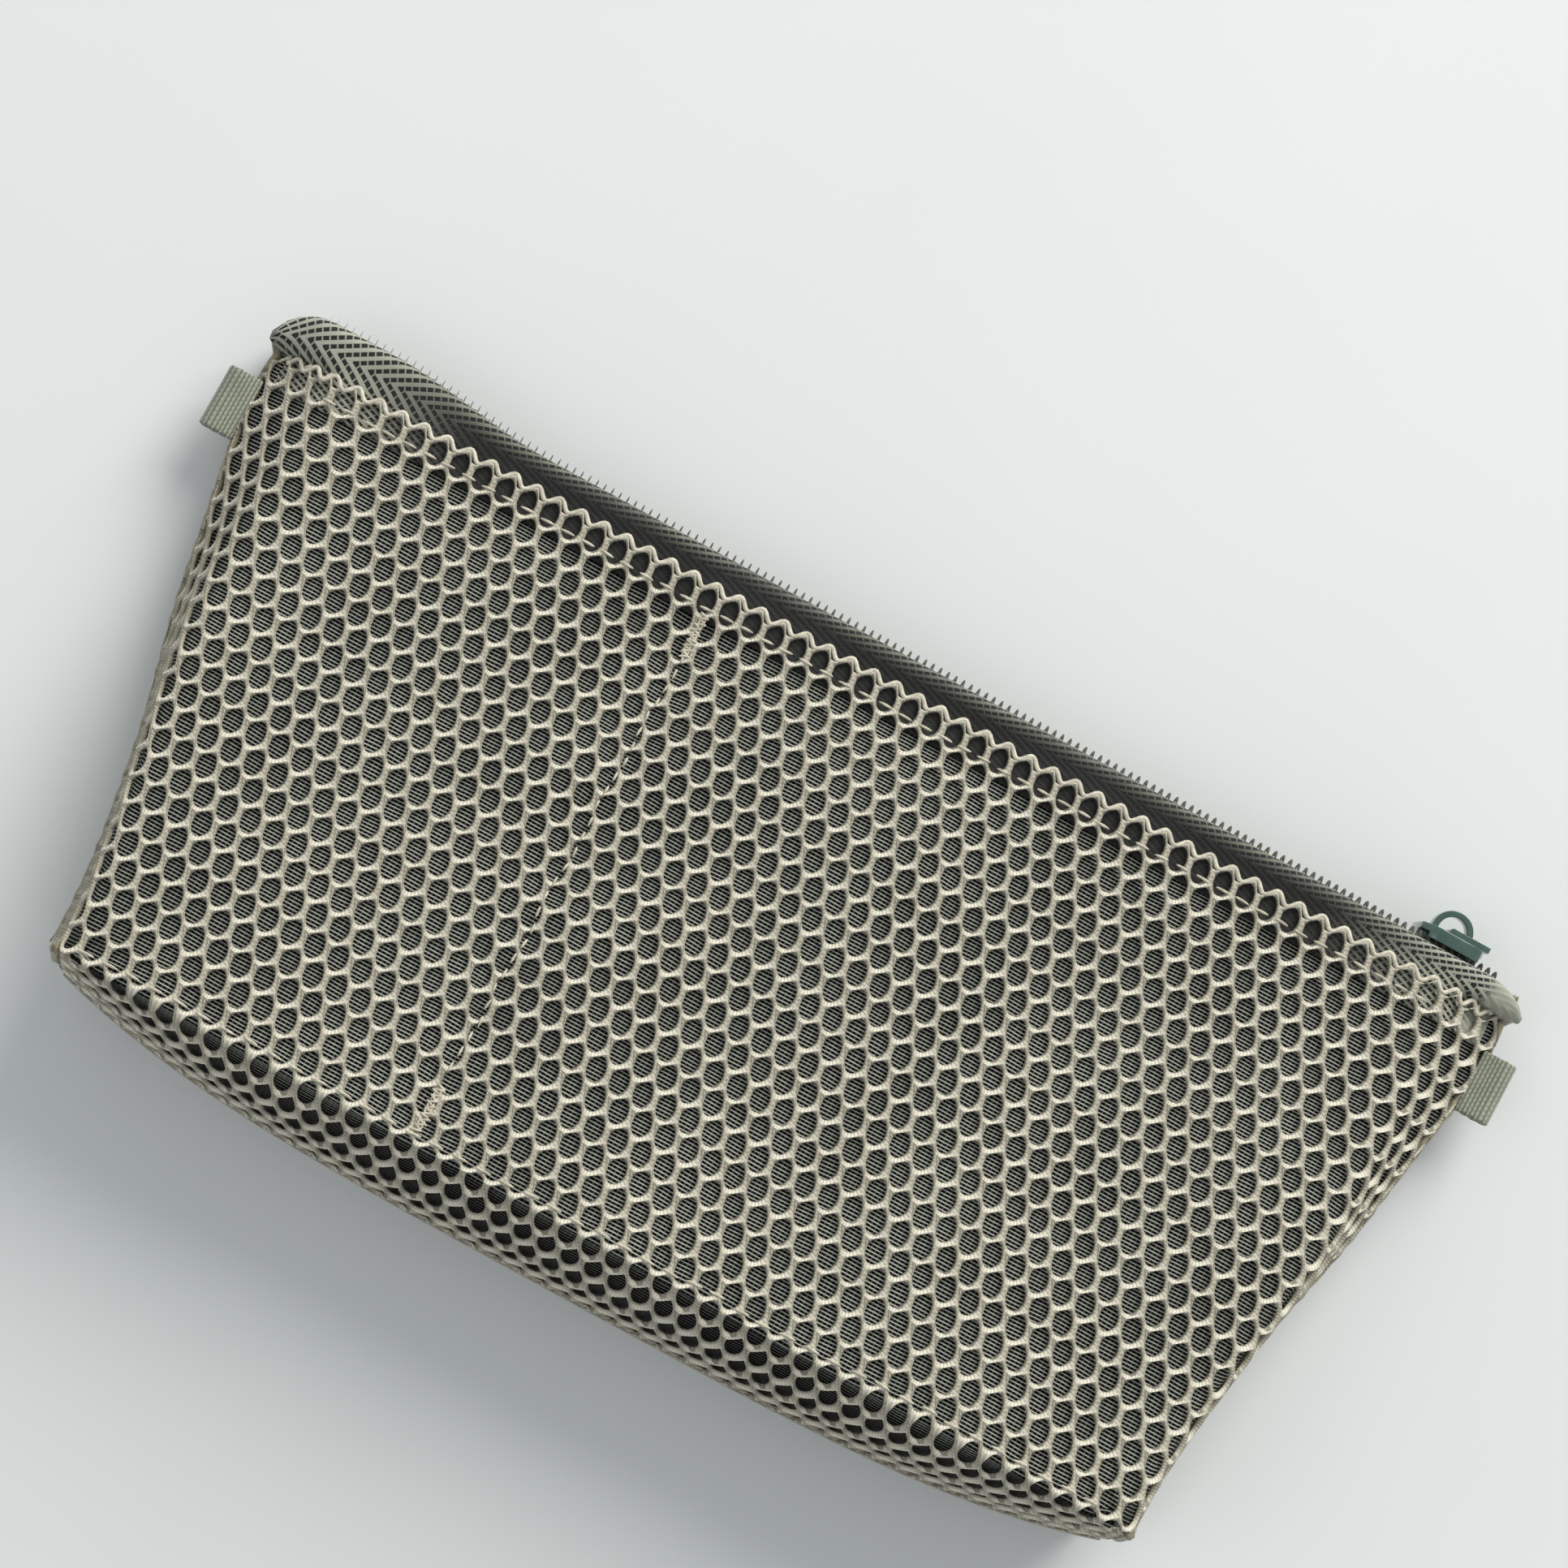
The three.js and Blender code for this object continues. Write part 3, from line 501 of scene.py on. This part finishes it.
def net_cell():
    """Half a strand all round one hole: a crested upper skin and a plain lower one."""
    bm = bmesh.new()
    skins = []
    border_xy = np.array([point[:2] for point in cell_outline()])
    centre = border_xy.mean(axis=0)
    turn = np.arctan2(*((border_xy - centre) / HOLE_RADII).T[::-1])
    hole_xy = centre + np.stack([np.cos(turn), np.sin(turn)], 1) * HOLE_RADII
    for steps in (UPPER_INSETS, LOWER_INSETS):
        made = bmesh.ops.create_circle(bm, cap_ends=True, radius=2, segments=16)
        face = made["verts"][0].link_faces[0]
        for vert, point in zip(face.verts, cell_outline()):
            vert.co = point
        face.normal_update()
        if face.normal.z < 0:
            face.normal_flip()
        rings = [list(face.verts)]
        for step in steps:
            bmesh.ops.inset_individual(bm, faces=[face], thickness=step, use_even_offset=True)
            rings.append(list(face.verts))
        bmesh.ops.delete(bm, geom=[face], context="FACES_ONLY")
        skins.append(rings)
    (border, crest, edge), (low_border, low_edge) = skins
    for vert in low_border:
        vert.co.z = STRAND_LOW
    for outer, ridge, rim, twin in zip(border, crest, edge, low_edge):
        k = int(np.argmin(np.hypot(*(border_xy - np.array(outer.co)[:2]).T)))
        ridge.co = (*mix(border_xy[k], hole_xy[k], CREST_SHARE), STRAND_TOP)
        rim.co = (*hole_xy[k], HOLE_EDGE)
        twin.co = rim.co
    bmesh.ops.reverse_faces(bm, faces=list({f for v in low_border for f in v.link_faces}))
    bmesh.ops.remove_doubles(bm, verts=bm.verts, dist=1e-4)
    return bm


def net_flat(name):
    """The whole net lying flat: x = u, y = v, z = place in its thickness."""
    bm = net_cell()
    made = bmesh.ops.duplicate(bm, geom=bm.verts[:] + bm.edges[:] + bm.faces[:])
    bmesh.ops.translate(bm, vec=(*ALONG, 0),
                        verts=[g for g in made["geom"] if isinstance(g, bmesh.types.BMVert)])
    per_cell = len(bm.verts) // 2
    obj = bpy.data.objects.new(name, to_mesh(bm, name))
    scene.collection.objects.link(obj)
    for count, offset in ((COLUMNS, (PITCH, 0, 0)), (ROW_PAIRS, (0, 2 * ROW, 0))):
        modifier(obj, "ARRAY", count=count, use_relative_offset=False, use_constant_offset=True,
                 constant_offset_displace=offset)
    mesh = bpy.data.meshes.new_from_object(obj.evaluated_get(bpy.context.evaluated_depsgraph_get()))
    bpy.data.objects.remove(obj)

    co = coords(mesh)
    co[:, 0] -= MIDDLE_COLUMN * PITCH
    co[:, 1] += FIRST_ROW
    centres = co.reshape(-1, per_cell, 3).mean(axis=1)
    index = corner_verts(mesh)
    local = co[index] - centres[index // per_cell]
    crest = np.abs(local[:, 2]) > 0.44
    at_hole = np.isclose(local[:, 2], HOLE_EDGE, atol=0.01)
    across = np.where(crest, 0.4, np.where(at_hole, 1.0, 0.0))
    angle = np.arctan2(local[:, 1] / 1.35, local[:, 0]) + 0.40
    starts = np.empty(len(mesh.polygons), np.int32)
    totals = np.empty(len(mesh.polygons), np.int32)
    mesh.polygons.foreach_get("loop_start", starts)
    mesh.polygons.foreach_get("loop_total", totals)
    first = np.repeat(angle[starts], totals)
    angle = first + (angle - first + np.pi) % (2 * np.pi) - np.pi
    write_uv(mesh, "yarn", np.stack([angle / (2 * np.pi), across], 1))

    cu, cv = np.abs(centres[:, 0]), centres[:, 1]
    past_seam = (cu > HALF_FLAT + 0.1) | (cv > PANEL + GUSSET + 1.2)
    gone = past_seam | ((cu > HALF_CREASE + 0.4) & (cv > PANEL + 0.8))
    u, v = np.abs(co[:, 0]), co[:, 1].copy()
    past = (u > HALF_CREASE) & (v > PANEL)
    by_crease = past & (v - PANEL < u - HALF_CREASE)
    v = np.where(by_crease, PANEL, v)
    u = np.where(past & ~by_crease, HALF_CREASE, u)
    co[:, 0] = np.sign(co[:, 0]) * np.minimum(u, HALF_FLAT)
    co[:, 1] = np.minimum(v, PANEL + GUSSET)
    set_coords(mesh, co)

    bm = bmesh.new()
    bm.from_mesh(mesh)
    bm.faces.ensure_lookup_table()
    face_cell = index[starts] // per_cell
    bmesh.ops.delete(bm, geom=[bm.faces[i] for i in np.nonzero(gone[face_cell])[0]], context="FACES")
    bmesh.ops.remove_doubles(bm, verts=bm.verts, dist=WELD)
    bmesh.ops.dissolve_degenerate(bm, dist=THIN, edges=bm.edges)
    rim = [e for e in bm.edges if len(e.link_faces) == 1 and all(p.co.z > 0.1 for p in e.verts)]
    walls = bmesh.ops.extrude_edge_only(bm, edges=rim)
    for g in walls["geom"]:
        if isinstance(g, bmesh.types.BMVert):
            g.co.z = STRAND_LOW
    bmesh.ops.remove_doubles(bm, verts=bm.verts, dist=WELD)
    bm.to_mesh(mesh)
    bm.free()
    return mesh


def cloth_place(u, v):
    """Cloth distance from the middle for flat place u: the sides stretch to the side seam."""
    m = np.abs(u)
    room = half_cloth(np.minimum(v, PANEL)) - HALF_CREASE
    stretched = HALF_CREASE + (m - HALF_CREASE) * room / (HALF_FLAT - HALF_CREASE)
    return np.sign(u) * np.where(m > HALF_CREASE, stretched, m)


net = net_flat("net_flat")
for name, side in (("front", 1), ("back", -1)):
    mesh = net.copy()
    co = coords(mesh)
    u, v, z = co.T
    a = cloth_place(u, v)
    index = corner_verts(mesh)
    write_uv(mesh, "cloth", np.stack([a, v], 1)[index])
    set_coords(mesh, place(a, v, side, z) * MM)
    outside(mesh)
    obj = piece(f"{name}_net", mesh, NET_LOOK, replaces=[f"{name}_net_panel"])
bpy.data.meshes.remove(net)


# Lining and pocket
CLOTH_THICKNESS = 0.0004
POCKET_HALF, POCKET_TOP, POCKET_FOOT = 78, 10, 84


def flat_grid(u0, u1, v0, v1, nu, nv):
    bm = bmesh.new()
    bmesh.ops.create_grid(bm, x_segments=nu, y_segments=nv, size=0.5)
    for vert in bm.verts:
        vert.co = (mix(u0, u1, vert.co.x + 0.5), mix(v0, v1, vert.co.y + 0.5), 0)
    return bm


def sheet_mesh(bm, name, to_place):
    """A flat piece of cloth carried to its place, keeping its flat coordinates as its weave's."""
    mesh = to_mesh(bm, name)
    co = coords(mesh)
    index = corner_verts(mesh)
    write_uv(mesh, "cloth", co[index][:, :2])
    set_coords(mesh, to_place(co[:, 0], co[:, 1]) * MM)
    return mesh


def lining(name, side):
    """Woven sheet under the net, standing off it by a little more beside the zip and at the tips."""
    edge = PANEL + GUSSET - 0.7
    bm = flat_grid(-1, 1, 0, 1, 120, 68)
    tip = HALF_CREASE - 2.6
    for vert in bm.verts:
        v = vert.co.y * edge
        reach = float(half_cloth(min(v, PANEL))) - 0.5
        vert.co = (vert.co.x * reach, v, 0)
    gone = []
    for face in bm.faces:
        middle = face.calc_center_median()
        if middle.y > PANEL and abs(middle.x) > tip + 0.7:
            gone.append(face)
    bmesh.ops.delete(bm, geom=gone, context="FACES")
    for vert in bm.verts:
        if vert.co.y > PANEL + 0.4 and abs(vert.co.x) > tip:
            vert.co.x = math.copysign(tip, vert.co.x)

    def at(a, v):
        near_tip = np.exp(-((v - PANEL) / 5.0) ** 2 - ((np.abs(a) - HALF_CREASE) / 5.0) ** 2)
        step = 0.95 * np.clip(1 - v / 13.3, 0, 1) + 1.8 * near_tip
        panel_v = np.minimum(v, PANEL)
        height = (spine(panel_v, 1)[1] - HALF_NET) / 2 - walk(np.abs(a), panel_v)[1]
        room = np.where(v > PANEL, 9.0, np.maximum(0.75 * height - 0.1, 0.35))
        return place(a, v, side, -np.minimum(1.0 + step, room))

    cut_area = sum(f.calc_area() for f in bm.faces) * 1e-6
    obj = piece(name, sheet_mesh(bm, name, at), LINING_LOOK,
                replaces=[name.replace("_sheet", "")])
    modifier(obj, "SOLIDIFY", thickness=CLOTH_THICKNESS, offset=0)


for name, side in (("front", 1), ("back", -1)):
    lining(f"{name}_lining_sheet", side)


def pocket_place(a, v):
    """Two bellied compartments, held at the sides, at the divider and at the foot."""
    left_part = (a + POCKET_HALF) / (POCKET_HALF + DIVIDER)
    right_part = (a - DIVIDER) / (POCKET_HALF - DIVIDER)
    q = np.where(a <= DIVIDER, left_part, right_part)
    row = (v - POCKET_TOP) / (POCKET_FOOT - POCKET_TOP) * 6
    belly = np.sin(np.pi * np.clip(q, 0, 1)) ** 0.7
    slack = belly * mix(0.4, 1, smooth(row / 2)) * mix(1, 0, smooth((row - 3.4) / 2.6))
    ripple = 0.5 * slack * np.sin(a / 6.0 + v / 19.0)
    return place(a, v, 1, -2.3 - 8.0 * slack + ripple)


pocket_flat = flat_grid(-POCKET_HALF, POCKET_HALF, POCKET_TOP, POCKET_FOOT, 90, 40)
pocket = piece("pocket_sheet", sheet_mesh(pocket_flat, "pocket_sheet", pocket_place),
               POCKET_LOOK, replaces=["inner_pocket_panel"])
modifier(pocket, "SOLIDIFY", thickness=CLOTH_THICKNESS, offset=0)


# Stitches: plump thread dashes laid on the cloth
def dashes(name, dash_list, replaces=(), side=1):
    """dash_list holds (u, v, angle, length, width, lift) of each stitch on the flat cloth."""
    bm = bmesh.new()
    for u, v, turn, length, width, lift in dash_list:
        made = bmesh.ops.create_uvsphere(bm, u_segments=8, v_segments=6, radius=0.5)
        bmesh.ops.rotate(bm, verts=made["verts"], matrix=Matrix.Rotation(math.pi / 2, 3, "Y"))
        bmesh.ops.scale(bm, verts=made["verts"], vec=(length, width, width * 0.9))
        for vert in made["verts"]:
            vert.co.z -= 0.16 * (2 * vert.co.x / length) ** 2
        bmesh.ops.rotate(bm, verts=made["verts"], matrix=Matrix.Rotation(turn, 3, "Z"))
        bmesh.ops.translate(bm, verts=made["verts"], vec=(u, v, lift))
    mesh = to_mesh(bm, name)
    co = coords(mesh)
    write_uv(mesh, "cloth", co[corner_verts(mesh)][:, :2])
    set_coords(mesh, place(co[:, 0], co[:, 1], side, co[:, 2]) * MM)
    outside(mesh)
    return piece(name, mesh, THREAD_LOOK, replaces=replaces)


rng = np.random.default_rng(7)


def jitter(spread):
    return float(rng.normal(0, spread))


ZIP_STITCH, CREASE_STITCH, DIVIDER_STITCH = 3.3, 3.7, 2.55   # from one stitch to the next
zip_row, crease_row, divider_row = [], [], []
for i in range(int(186 / ZIP_STITCH)):
    zip_row.append((-92 + ZIP_STITCH * i + jitter(0.08), 3.9 + jitter(0.07), jitter(0.05), 2.35, 0.44, 0.55))
for i in range(int(164 / CREASE_STITCH)):
    crease_row.append((-81 + CREASE_STITCH * i + jitter(0.1), 91.6 + jitter(0.12), jitter(0.06),
                       2.6, 0.46, 0.55))
dashes("zip_seam_thread", zip_row, replaces=["zip_seam_stitch"])
dashes("zip_seam_thread_back", [(u, v, t, l, w, 0.25) for u, v, t, l, w, _ in zip_row], side=-1)
dashes("crease_thread", crease_row, replaces=["crease_stitch"])
for i in range(28):
    divider_row.append((DIVIDER + 0.25 * math.sin(i * 1.1) + jitter(0.1), 12 + DIVIDER_STITCH * i,
                        math.pi / 2 + jitter(0.08), 1.75, 0.40, 0.52))
dashes("divider_thread", divider_row, replaces=["divider_stitch"])
for name, v0, v1 in (("divider_tack_top", 5.0, 11.6), ("divider_tack_foot", 84.0, 91.0)):
    tack = [(DIVIDER + jitter(0.12), mix(v0, v1, i / 15), 0.35 * (-1) ** i + jitter(0.12), 1.7, 0.40, 0.62)
            for i in range(16)]
    tack += [(DIVIDER + s * 0.35, mix(v0, v1, (i + 0.5) / 3), math.pi / 2 + jitter(0.1), 2.4, 0.40, 0.50)
             for i in range(3) for s in (-1, 1)]
    dashes(name + "_thread", tack, replaces=[name])


# Zip: tapes, coil rows, end folds
def closing(x):
    """The rows draw together at both ends of the zip."""
    return smooth((np.abs(x) - 96.4) / 6.2)


# The tape's section: past the raw edge, and away from the zip's middle plane
TAPE_SECTION = np.array([(-5.4, 5.825), (-0.4, 5.825), (0.3, 5.75), (1.0, 5.8), (1.6, 5.95), (2.3, 6.15),
                         (3.0, 6.3), (3.5, 6.35), (3.95, 6.2), (4.2, 5.8), (4.3, 5.3), (4.3, 4.8)])
TAPE_LENGTHS = np.concatenate([[0], np.cumsum(np.linalg.norm(np.diff(TAPE_SECTION, axis=0), axis=1))])
TAPE_SPAN = float(TAPE_LENGTHS[-1])
TAPE_HALF, TAPE_EDGE = 104.8, 4.3


def tape_end(x):
    """The folded tape ends are rounded off towards the cloth."""
    return np.sqrt(1 - np.clip((np.abs(x) - 98.3) / 6.7, 0, 0.985) ** 2)


def tape_hump(x):
    """Towards its left end the open tape turns its face up and stands a little further out."""
    return 2.6 * smooth((-x - 60) / 28)


def tape_place(side):
    """Carries the flat tape from under the net out over the raw edge and down to its row."""
    def at(x, s):
        past = np.interp(s, TAPE_LENGTHS, TAPE_SECTION[:, 0])
        height = np.interp(s, TAPE_LENGTHS, TAPE_SECTION[:, 1])
        hidden = place(x, np.maximum(-past, 0), side, x * 0 - 0.965)
        hidden[:, 1] += np.maximum(past, 0)
        at_row = mix(0.72, 1.0, smooth((past - 4.0) / 0.5))
        lower = 2.35 * closing(x) * at_row
        reach = past * (1 + tape_hump(x) * (past > 0) / TAPE_EDGE)
        shown = np.stack([x, RAW_Y + reach * tape_end(x), ZIP_Z + side * (height - lower)], 1)
        w = smooth((past - 0.1) / 1.2)[:, None]
        wave = 0.16 * np.sin(x / 9.0 + side) * smooth(past / 2)
        out = mix(hidden, shown, w)
        out[:, 2] += side * wave * (past < TAPE_EDGE)
        return out
    return at


for name, side in (("front", 1), ("back", -1)):
    bm = flat_grid(-TAPE_HALF, TAPE_HALF, 0, TAPE_SPAN, 180, 22)
    obj = piece(f"zip_tape_{name}_band", sheet_mesh(bm, f"zip_tape_{name}_band", tape_place(side)),
                TAPE_LOOK, replaces=[f"zip_tape_{name}"])
    modifier(obj, "SOLIDIFY", thickness=0.00034, offset=0)

COIL_PITCH, COIL_RUN, COIL_LOOP, COIL_FILAMENT = 1.28, 199.0, 0.72, 0.43


def coil_row(name, side, replaces):
    """Nylon coil: one loop of round filament, repeated along the tape edge."""
    bm = bmesh.new()
    made = bmesh.ops.create_circle(bm, radius=COIL_FILAMENT, segments=6)
    bmesh.ops.translate(bm, verts=made["verts"], vec=(0, COIL_LOOP, 0))
    bmesh.ops.rotate(bm, verts=made["verts"], matrix=Matrix.Rotation(math.pi / 2, 3, "Y"),
                     cent=(0, COIL_LOOP, 0))
    bmesh.ops.spin(bm, geom=bm.verts[:] + bm.edges[:], axis=(1, 0, 0), cent=(0, 0, 0), angle=2 * math.pi,
                   steps=12, use_merge=True)
    bmesh.ops.remove_doubles(bm, verts=bm.verts, dist=0.001)
    for vert in bm.verts:
        lean = 0.20 * vert.co.z
        head = 1 + 0.55 * smooth((vert.co.y - 0.2) / 0.6)
        vert.co = (vert.co.x * head + lean, vert.co.y, vert.co.z * 0.93)
    obj = bpy.data.objects.new(name, to_mesh(bm, name))
    scene.collection.objects.link(obj)
    count = int(COIL_RUN / COIL_PITCH)
    modifier(obj, "ARRAY", count=count, use_relative_offset=False, use_constant_offset=True,
             constant_offset_displace=(COIL_PITCH, 0, 0))
    mesh = bpy.data.meshes.new_from_object(obj.evaluated_get(bpy.context.evaluated_depsgraph_get()))
    bpy.data.objects.remove(obj)
    co = coords(mesh)
    co[:, 0] -= COIL_PITCH * (count - 1) / 2
    lift = mix(3.6, 1.25, closing(co[:, 0]))
    place_z = ZIP_Z + side * (lift + co[:, 2])
    row_y = RAW_Y + (4.6 + tape_hump(co[:, 0])) * tape_end(co[:, 0]) + co[:, 1] - 0.05
    set_coords(mesh, np.stack([co[:, 0], row_y, place_z], 1) * MM)
    outside(mesh)
    return piece(name, mesh, COIL_LOOK, replaces=replaces)


coil_row("coil_front", 1, ["zip_coil_front"])
coil_row("coil_back", -1, ["zip_coil_back"])


# Slider and puller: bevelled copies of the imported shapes
def dressed(name, node, body, width):
    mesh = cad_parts[node].data.copy()
    bm = bmesh.new()
    bm.from_mesh(mesh)
    bmesh.ops.remove_doubles(bm, verts=bm.verts, dist=1e-6)
    bmesh.ops.dissolve_limit(bm, angle_limit=0.02, verts=bm.verts, edges=bm.edges)
    bm.to_mesh(mesh)
    bm.free()
    obj = piece(name, mesh, ENAMEL_LOOK, body=body, replaces=[node])
    modifier(obj, "BEVEL", width=width, segments=3, limit_method="ANGLE", angle_limit=0.6,
             harden_normals=False)


dressed("slider_shell", "slider_body", "slider", 0.00028)
dressed("puller_tongue", "slider_puller", "puller", 0.00022)


# Webbing tabs
def tab(name, sign, node):
    """Webbing folded into a loop, its two ends held in the side seam."""
    lo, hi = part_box(node)
    y0, y1, z = lo.y * 1000, hi.y * 1000, (lo.z + hi.z) * 500
    inner, outer = (lo.x * 1000, hi.x * 1000) if sign > 0 else (hi.x * 1000, lo.x * 1000)
    reach = abs(outer - inner)
    path = []
    for i in range(25):
        t = math.pi * (i / 24)
        path.append((inner + sign * (reach - 2.0 + 1.45 * math.sin(t)), z + 1.35 * math.cos(t)))
    path = [(inner - sign * 1.0, z + 0.62), (inner + sign * 1.0, z + 0.95)] + path
    path += [(inner + sign * 1.0, z - 0.95), (inner - sign * 1.0, z - 0.62)]
    path = np.array(path)
    along = np.concatenate([[0], np.cumsum(np.linalg.norm(np.diff(path, axis=0), axis=1))])

    def at(w, s):
        x, height = np.interp(s, along, path[:, 0]), np.interp(s, along, path[:, 1])
        frayed = 0.05 * np.sin(s * 4.0)
        return np.stack([x, w + np.where(w > (y0 + y1) / 2, frayed, -frayed), height], 1)

    bm = flat_grid(y0 + 0.1, y1 - 0.1, 0, float(along[-1]), 16, 40)
    obj = piece(name, sheet_mesh(bm, name, at), WEBBING_LOOK, replaces=[node])
    modifier(obj, "SOLIDIFY", thickness=0.0010, offset=0)
    modifier(obj, "BEVEL", width=0.00025, segments=2, limit_method="ANGLE", angle_limit=0.9)


tab("tab_right_webbing", 1, "tab_right")
tab("tab_left_webbing", -1, "tab_left")


# Seams: rolled cloth edges
def roll(name, points, radius, look, replaces=(), sides=10):
    """A rolled edge: a round section carried along a line of points in millimetres."""
    curve = bpy.data.curves.new(name, "CURVE")
    curve.dimensions = "3D"
    curve.bevel_depth = radius * MM
    curve.bevel_resolution = max(1, sides // 4 - 1)
    curve.use_fill_caps = True
    line = curve.splines.new("POLY")
    line.points.add(len(points) - 1)
    for target, p in zip(line.points, points):
        target.co = (p[0] * MM, p[1] * MM, p[2] * MM, 1)
    temp = bpy.data.objects.new(name + "_line", curve)
    scene.collection.objects.link(temp)
    mesh = bpy.data.meshes.new_from_object(temp.evaluated_get(bpy.context.evaluated_depsgraph_get()))
    bpy.data.objects.remove(temp)
    bm = bmesh.new()
    bm.from_mesh(mesh)
    bmesh.ops.remove_doubles(bm, verts=bm.verts, dist=1e-6)
    bmesh.ops.recalc_face_normals(bm, faces=bm.faces)
    bm.to_mesh(mesh)
    bm.free()
    mesh.name = name
    piece(name, mesh, look, replaces=replaces)


def seam_line(v):
    m = half_cloth(np.minimum(v, PANEL))
    return (place(m, v, 1, v * 0) + place(m, v, -1, v * 0)) / 2


def corner_line(side):
    """Seam of a bottom corner, from the crease's tip to the middle of the boxed bottom."""
    t = np.linspace(0.02, 1, 14)
    edge_panel = place(mix(HALF_CREASE, half_cloth(t * 0 + PANEL), t), t * 0 + PANEL, side, t * 0)
    edge_gusset = place(t * 0 + HALF_CREASE, PANEL + GUSSET * t, side, t * 0)
    return (edge_panel + edge_gusset) / 2


ZIP_CORNER = np.array([(103.4, RAW_Y + 3.3, ZIP_Z), (103.9, RAW_Y + 2.0, ZIP_Z), (104.3, RAW_Y + 0.8, ZIP_Z)])
vs = np.linspace(0.5, 92.6, 60)
for name, sign in (("right", 1), ("left", -1)):
    line = seam_line(vs) * (sign, 1, 1)
    line[:, 0] += sign * 0.12 * np.sin(vs * 1.65)
    roll(f"side_seam_{name}", line, 0.72, SEAM_LOOK)
    inner = seam_line(np.linspace(24, 87, 40)) * (sign, 1, 1)
    inner[:, 0] -= sign * 3.3
    roll(f"side_binding_{name}_tape", inner, 1.0, TAPE_LOOK, replaces=[f"side_binding_{name}"])
    corner = np.concatenate([corner_line(1), corner_line(-1)[::-1]]) * (sign, 1, 1)
    corner[:, 0] += sign * 0.1 * np.sin(np.arange(len(corner)) * 2.2)
    roll(f"corner_seam_{name}", corner, 0.85, SEAM_LOOK)
    end_line = np.concatenate([ZIP_CORNER, seam_line(np.linspace(0.5, 4, 4))]) * (sign, 1, 1)
    roll(f"zip_end_seam_{name}", end_line, 0.78, SEAM_LOOK)

us = np.linspace(-84.6, 84.6, 120)
hem = us * 0 + PANEL + GUSSET
bottom = (place(us, hem, 1, us * 0) + place(us, hem, -1, us * 0)) / 2
bottom[:, 2] += 0.1 * np.sin(us * 1.7)
roll("bottom_seam", bottom, 0.6, SEAM_LOOK)

# The cut edge of the net: a yarn that rises to a tip once in each column of holes
EDGE_RADIUS, EDGE_MIDDLE, EDGE_SWING = 0.36, 0.62, 0.72
tip_u = FOOT[0] + CHORD[0] - ALONG[0]
for name, side in (("front", 1), ("back", -1)):
    u = np.arange(-102.2, 102.2, PITCH / 10)
    v = EDGE_MIDDLE - EDGE_SWING * np.cos(2 * np.pi * (u - tip_u) / PITCH)
    line = place(u, np.maximum(v, 0), side, u * 0 + 0.22)
    line[:, 1] -= np.minimum(v, 0)
    line[:, 2] = np.maximum(line[:, 2], 0.4)
    roll(f"{name}_raw_edge_yarn", line, EDGE_RADIUS, EDGE_LOOK, sides=8)


BINDING_HALF, BINDING_HALF_WIDTH, BINDING_IN = 76, 2.6, 3.6


def binding_place(a, w):
    """Inside the bottom seam, standing upright."""
    p = place(a, a * 0 + PANEL + GUSSET, 1, a * 0)
    return np.stack([p[:, 0], p[:, 1] + BINDING_IN, CREASE_Z / 2 + w], 1)


binding_flat = flat_grid(-BINDING_HALF, BINDING_HALF, -BINDING_HALF_WIDTH, BINDING_HALF_WIDTH, 80, 6)
binding = piece("bottom_binding_tape", sheet_mesh(binding_flat, "bottom_binding_tape", binding_place),
                TAPE_LOOK, replaces=["bottom_binding"])
modifier(binding, "SOLIDIFY", thickness=0.0008, offset=0)


# End stops of the zip: bar tacks of thread across the rows
for name, sign in (("left", -1), ("right", 1)):
    bm = bmesh.new()
    for i in range(7):
        made = bmesh.ops.create_uvsphere(bm, u_segments=8, v_segments=6, radius=0.5)
        bmesh.ops.scale(bm, verts=made["verts"], vec=(0.5, 2.6, 0.7))
        bmesh.ops.translate(bm, verts=made["verts"],
                            vec=(sign * (103.2 + 0.2 * (-1) ** i), ZIP_Y - 1.6, ZIP_Z - 2.1 + 0.7 * i))
    mesh = to_mesh(bm, f"zip_stop_{name}")
    set_coords(mesh, coords(mesh) * MM)
    outside(mesh)
    piece(f"zip_stop_{name}", mesh, SEAM_LOOK, replaces=[f"zip_end_stop_{name}"])

# Floor and light
bm = bmesh.new()
bmesh.ops.create_grid(bm, x_segments=1, y_segments=1, size=4)
floor = bpy.data.objects.new("floor", to_mesh(bm, "floor"))
floor.location.z = -0.0003
floor_look = Look("pale_floor")
floor_look.set(Base_Color=floor_look.blend(floor_look.noise(9, 4), FLOOR_LOW, FLOOR_HIGH), Roughness=0.65)
floor.data.materials.append(floor_look.material)
scene.collection.objects.link(floor)


def area_light(name, place_at, target, size, power, colour):
    data = bpy.data.lights.new(name, "AREA")
    data.shape = "DISK"
    data.size = size
    data.energy = power
    data.color = colour
    lamp = bpy.data.objects.new(name, data)
    lamp.location = place_at
    lamp.rotation_mode = "QUATERNION"
    lamp.rotation_quaternion = (Vector(target) - Vector(place_at)).to_track_quat("-Z", "Y")
    scene.collection.objects.link(lamp)


POUCH_MIDDLE = (0, 0, 0.02)
area_light("key", (0.50, 1.75, 1.20), POUCH_MIDDLE, 1.5, 47.0, (1.0, 0.985, 0.955))
area_light("fill", (-0.9, -0.5, 1.3), POUCH_MIDDLE, 1.2, 2.2, (0.95, 0.98, 1.0))
world = bpy.data.worlds.new("soft_room")
world.use_nodes = True
background = world.node_tree.nodes["Background"]
background.inputs["Color"].default_value = (0.93, 0.96, 1.0, 1)
background.inputs["Strength"].default_value = 0.50
scene.world = world
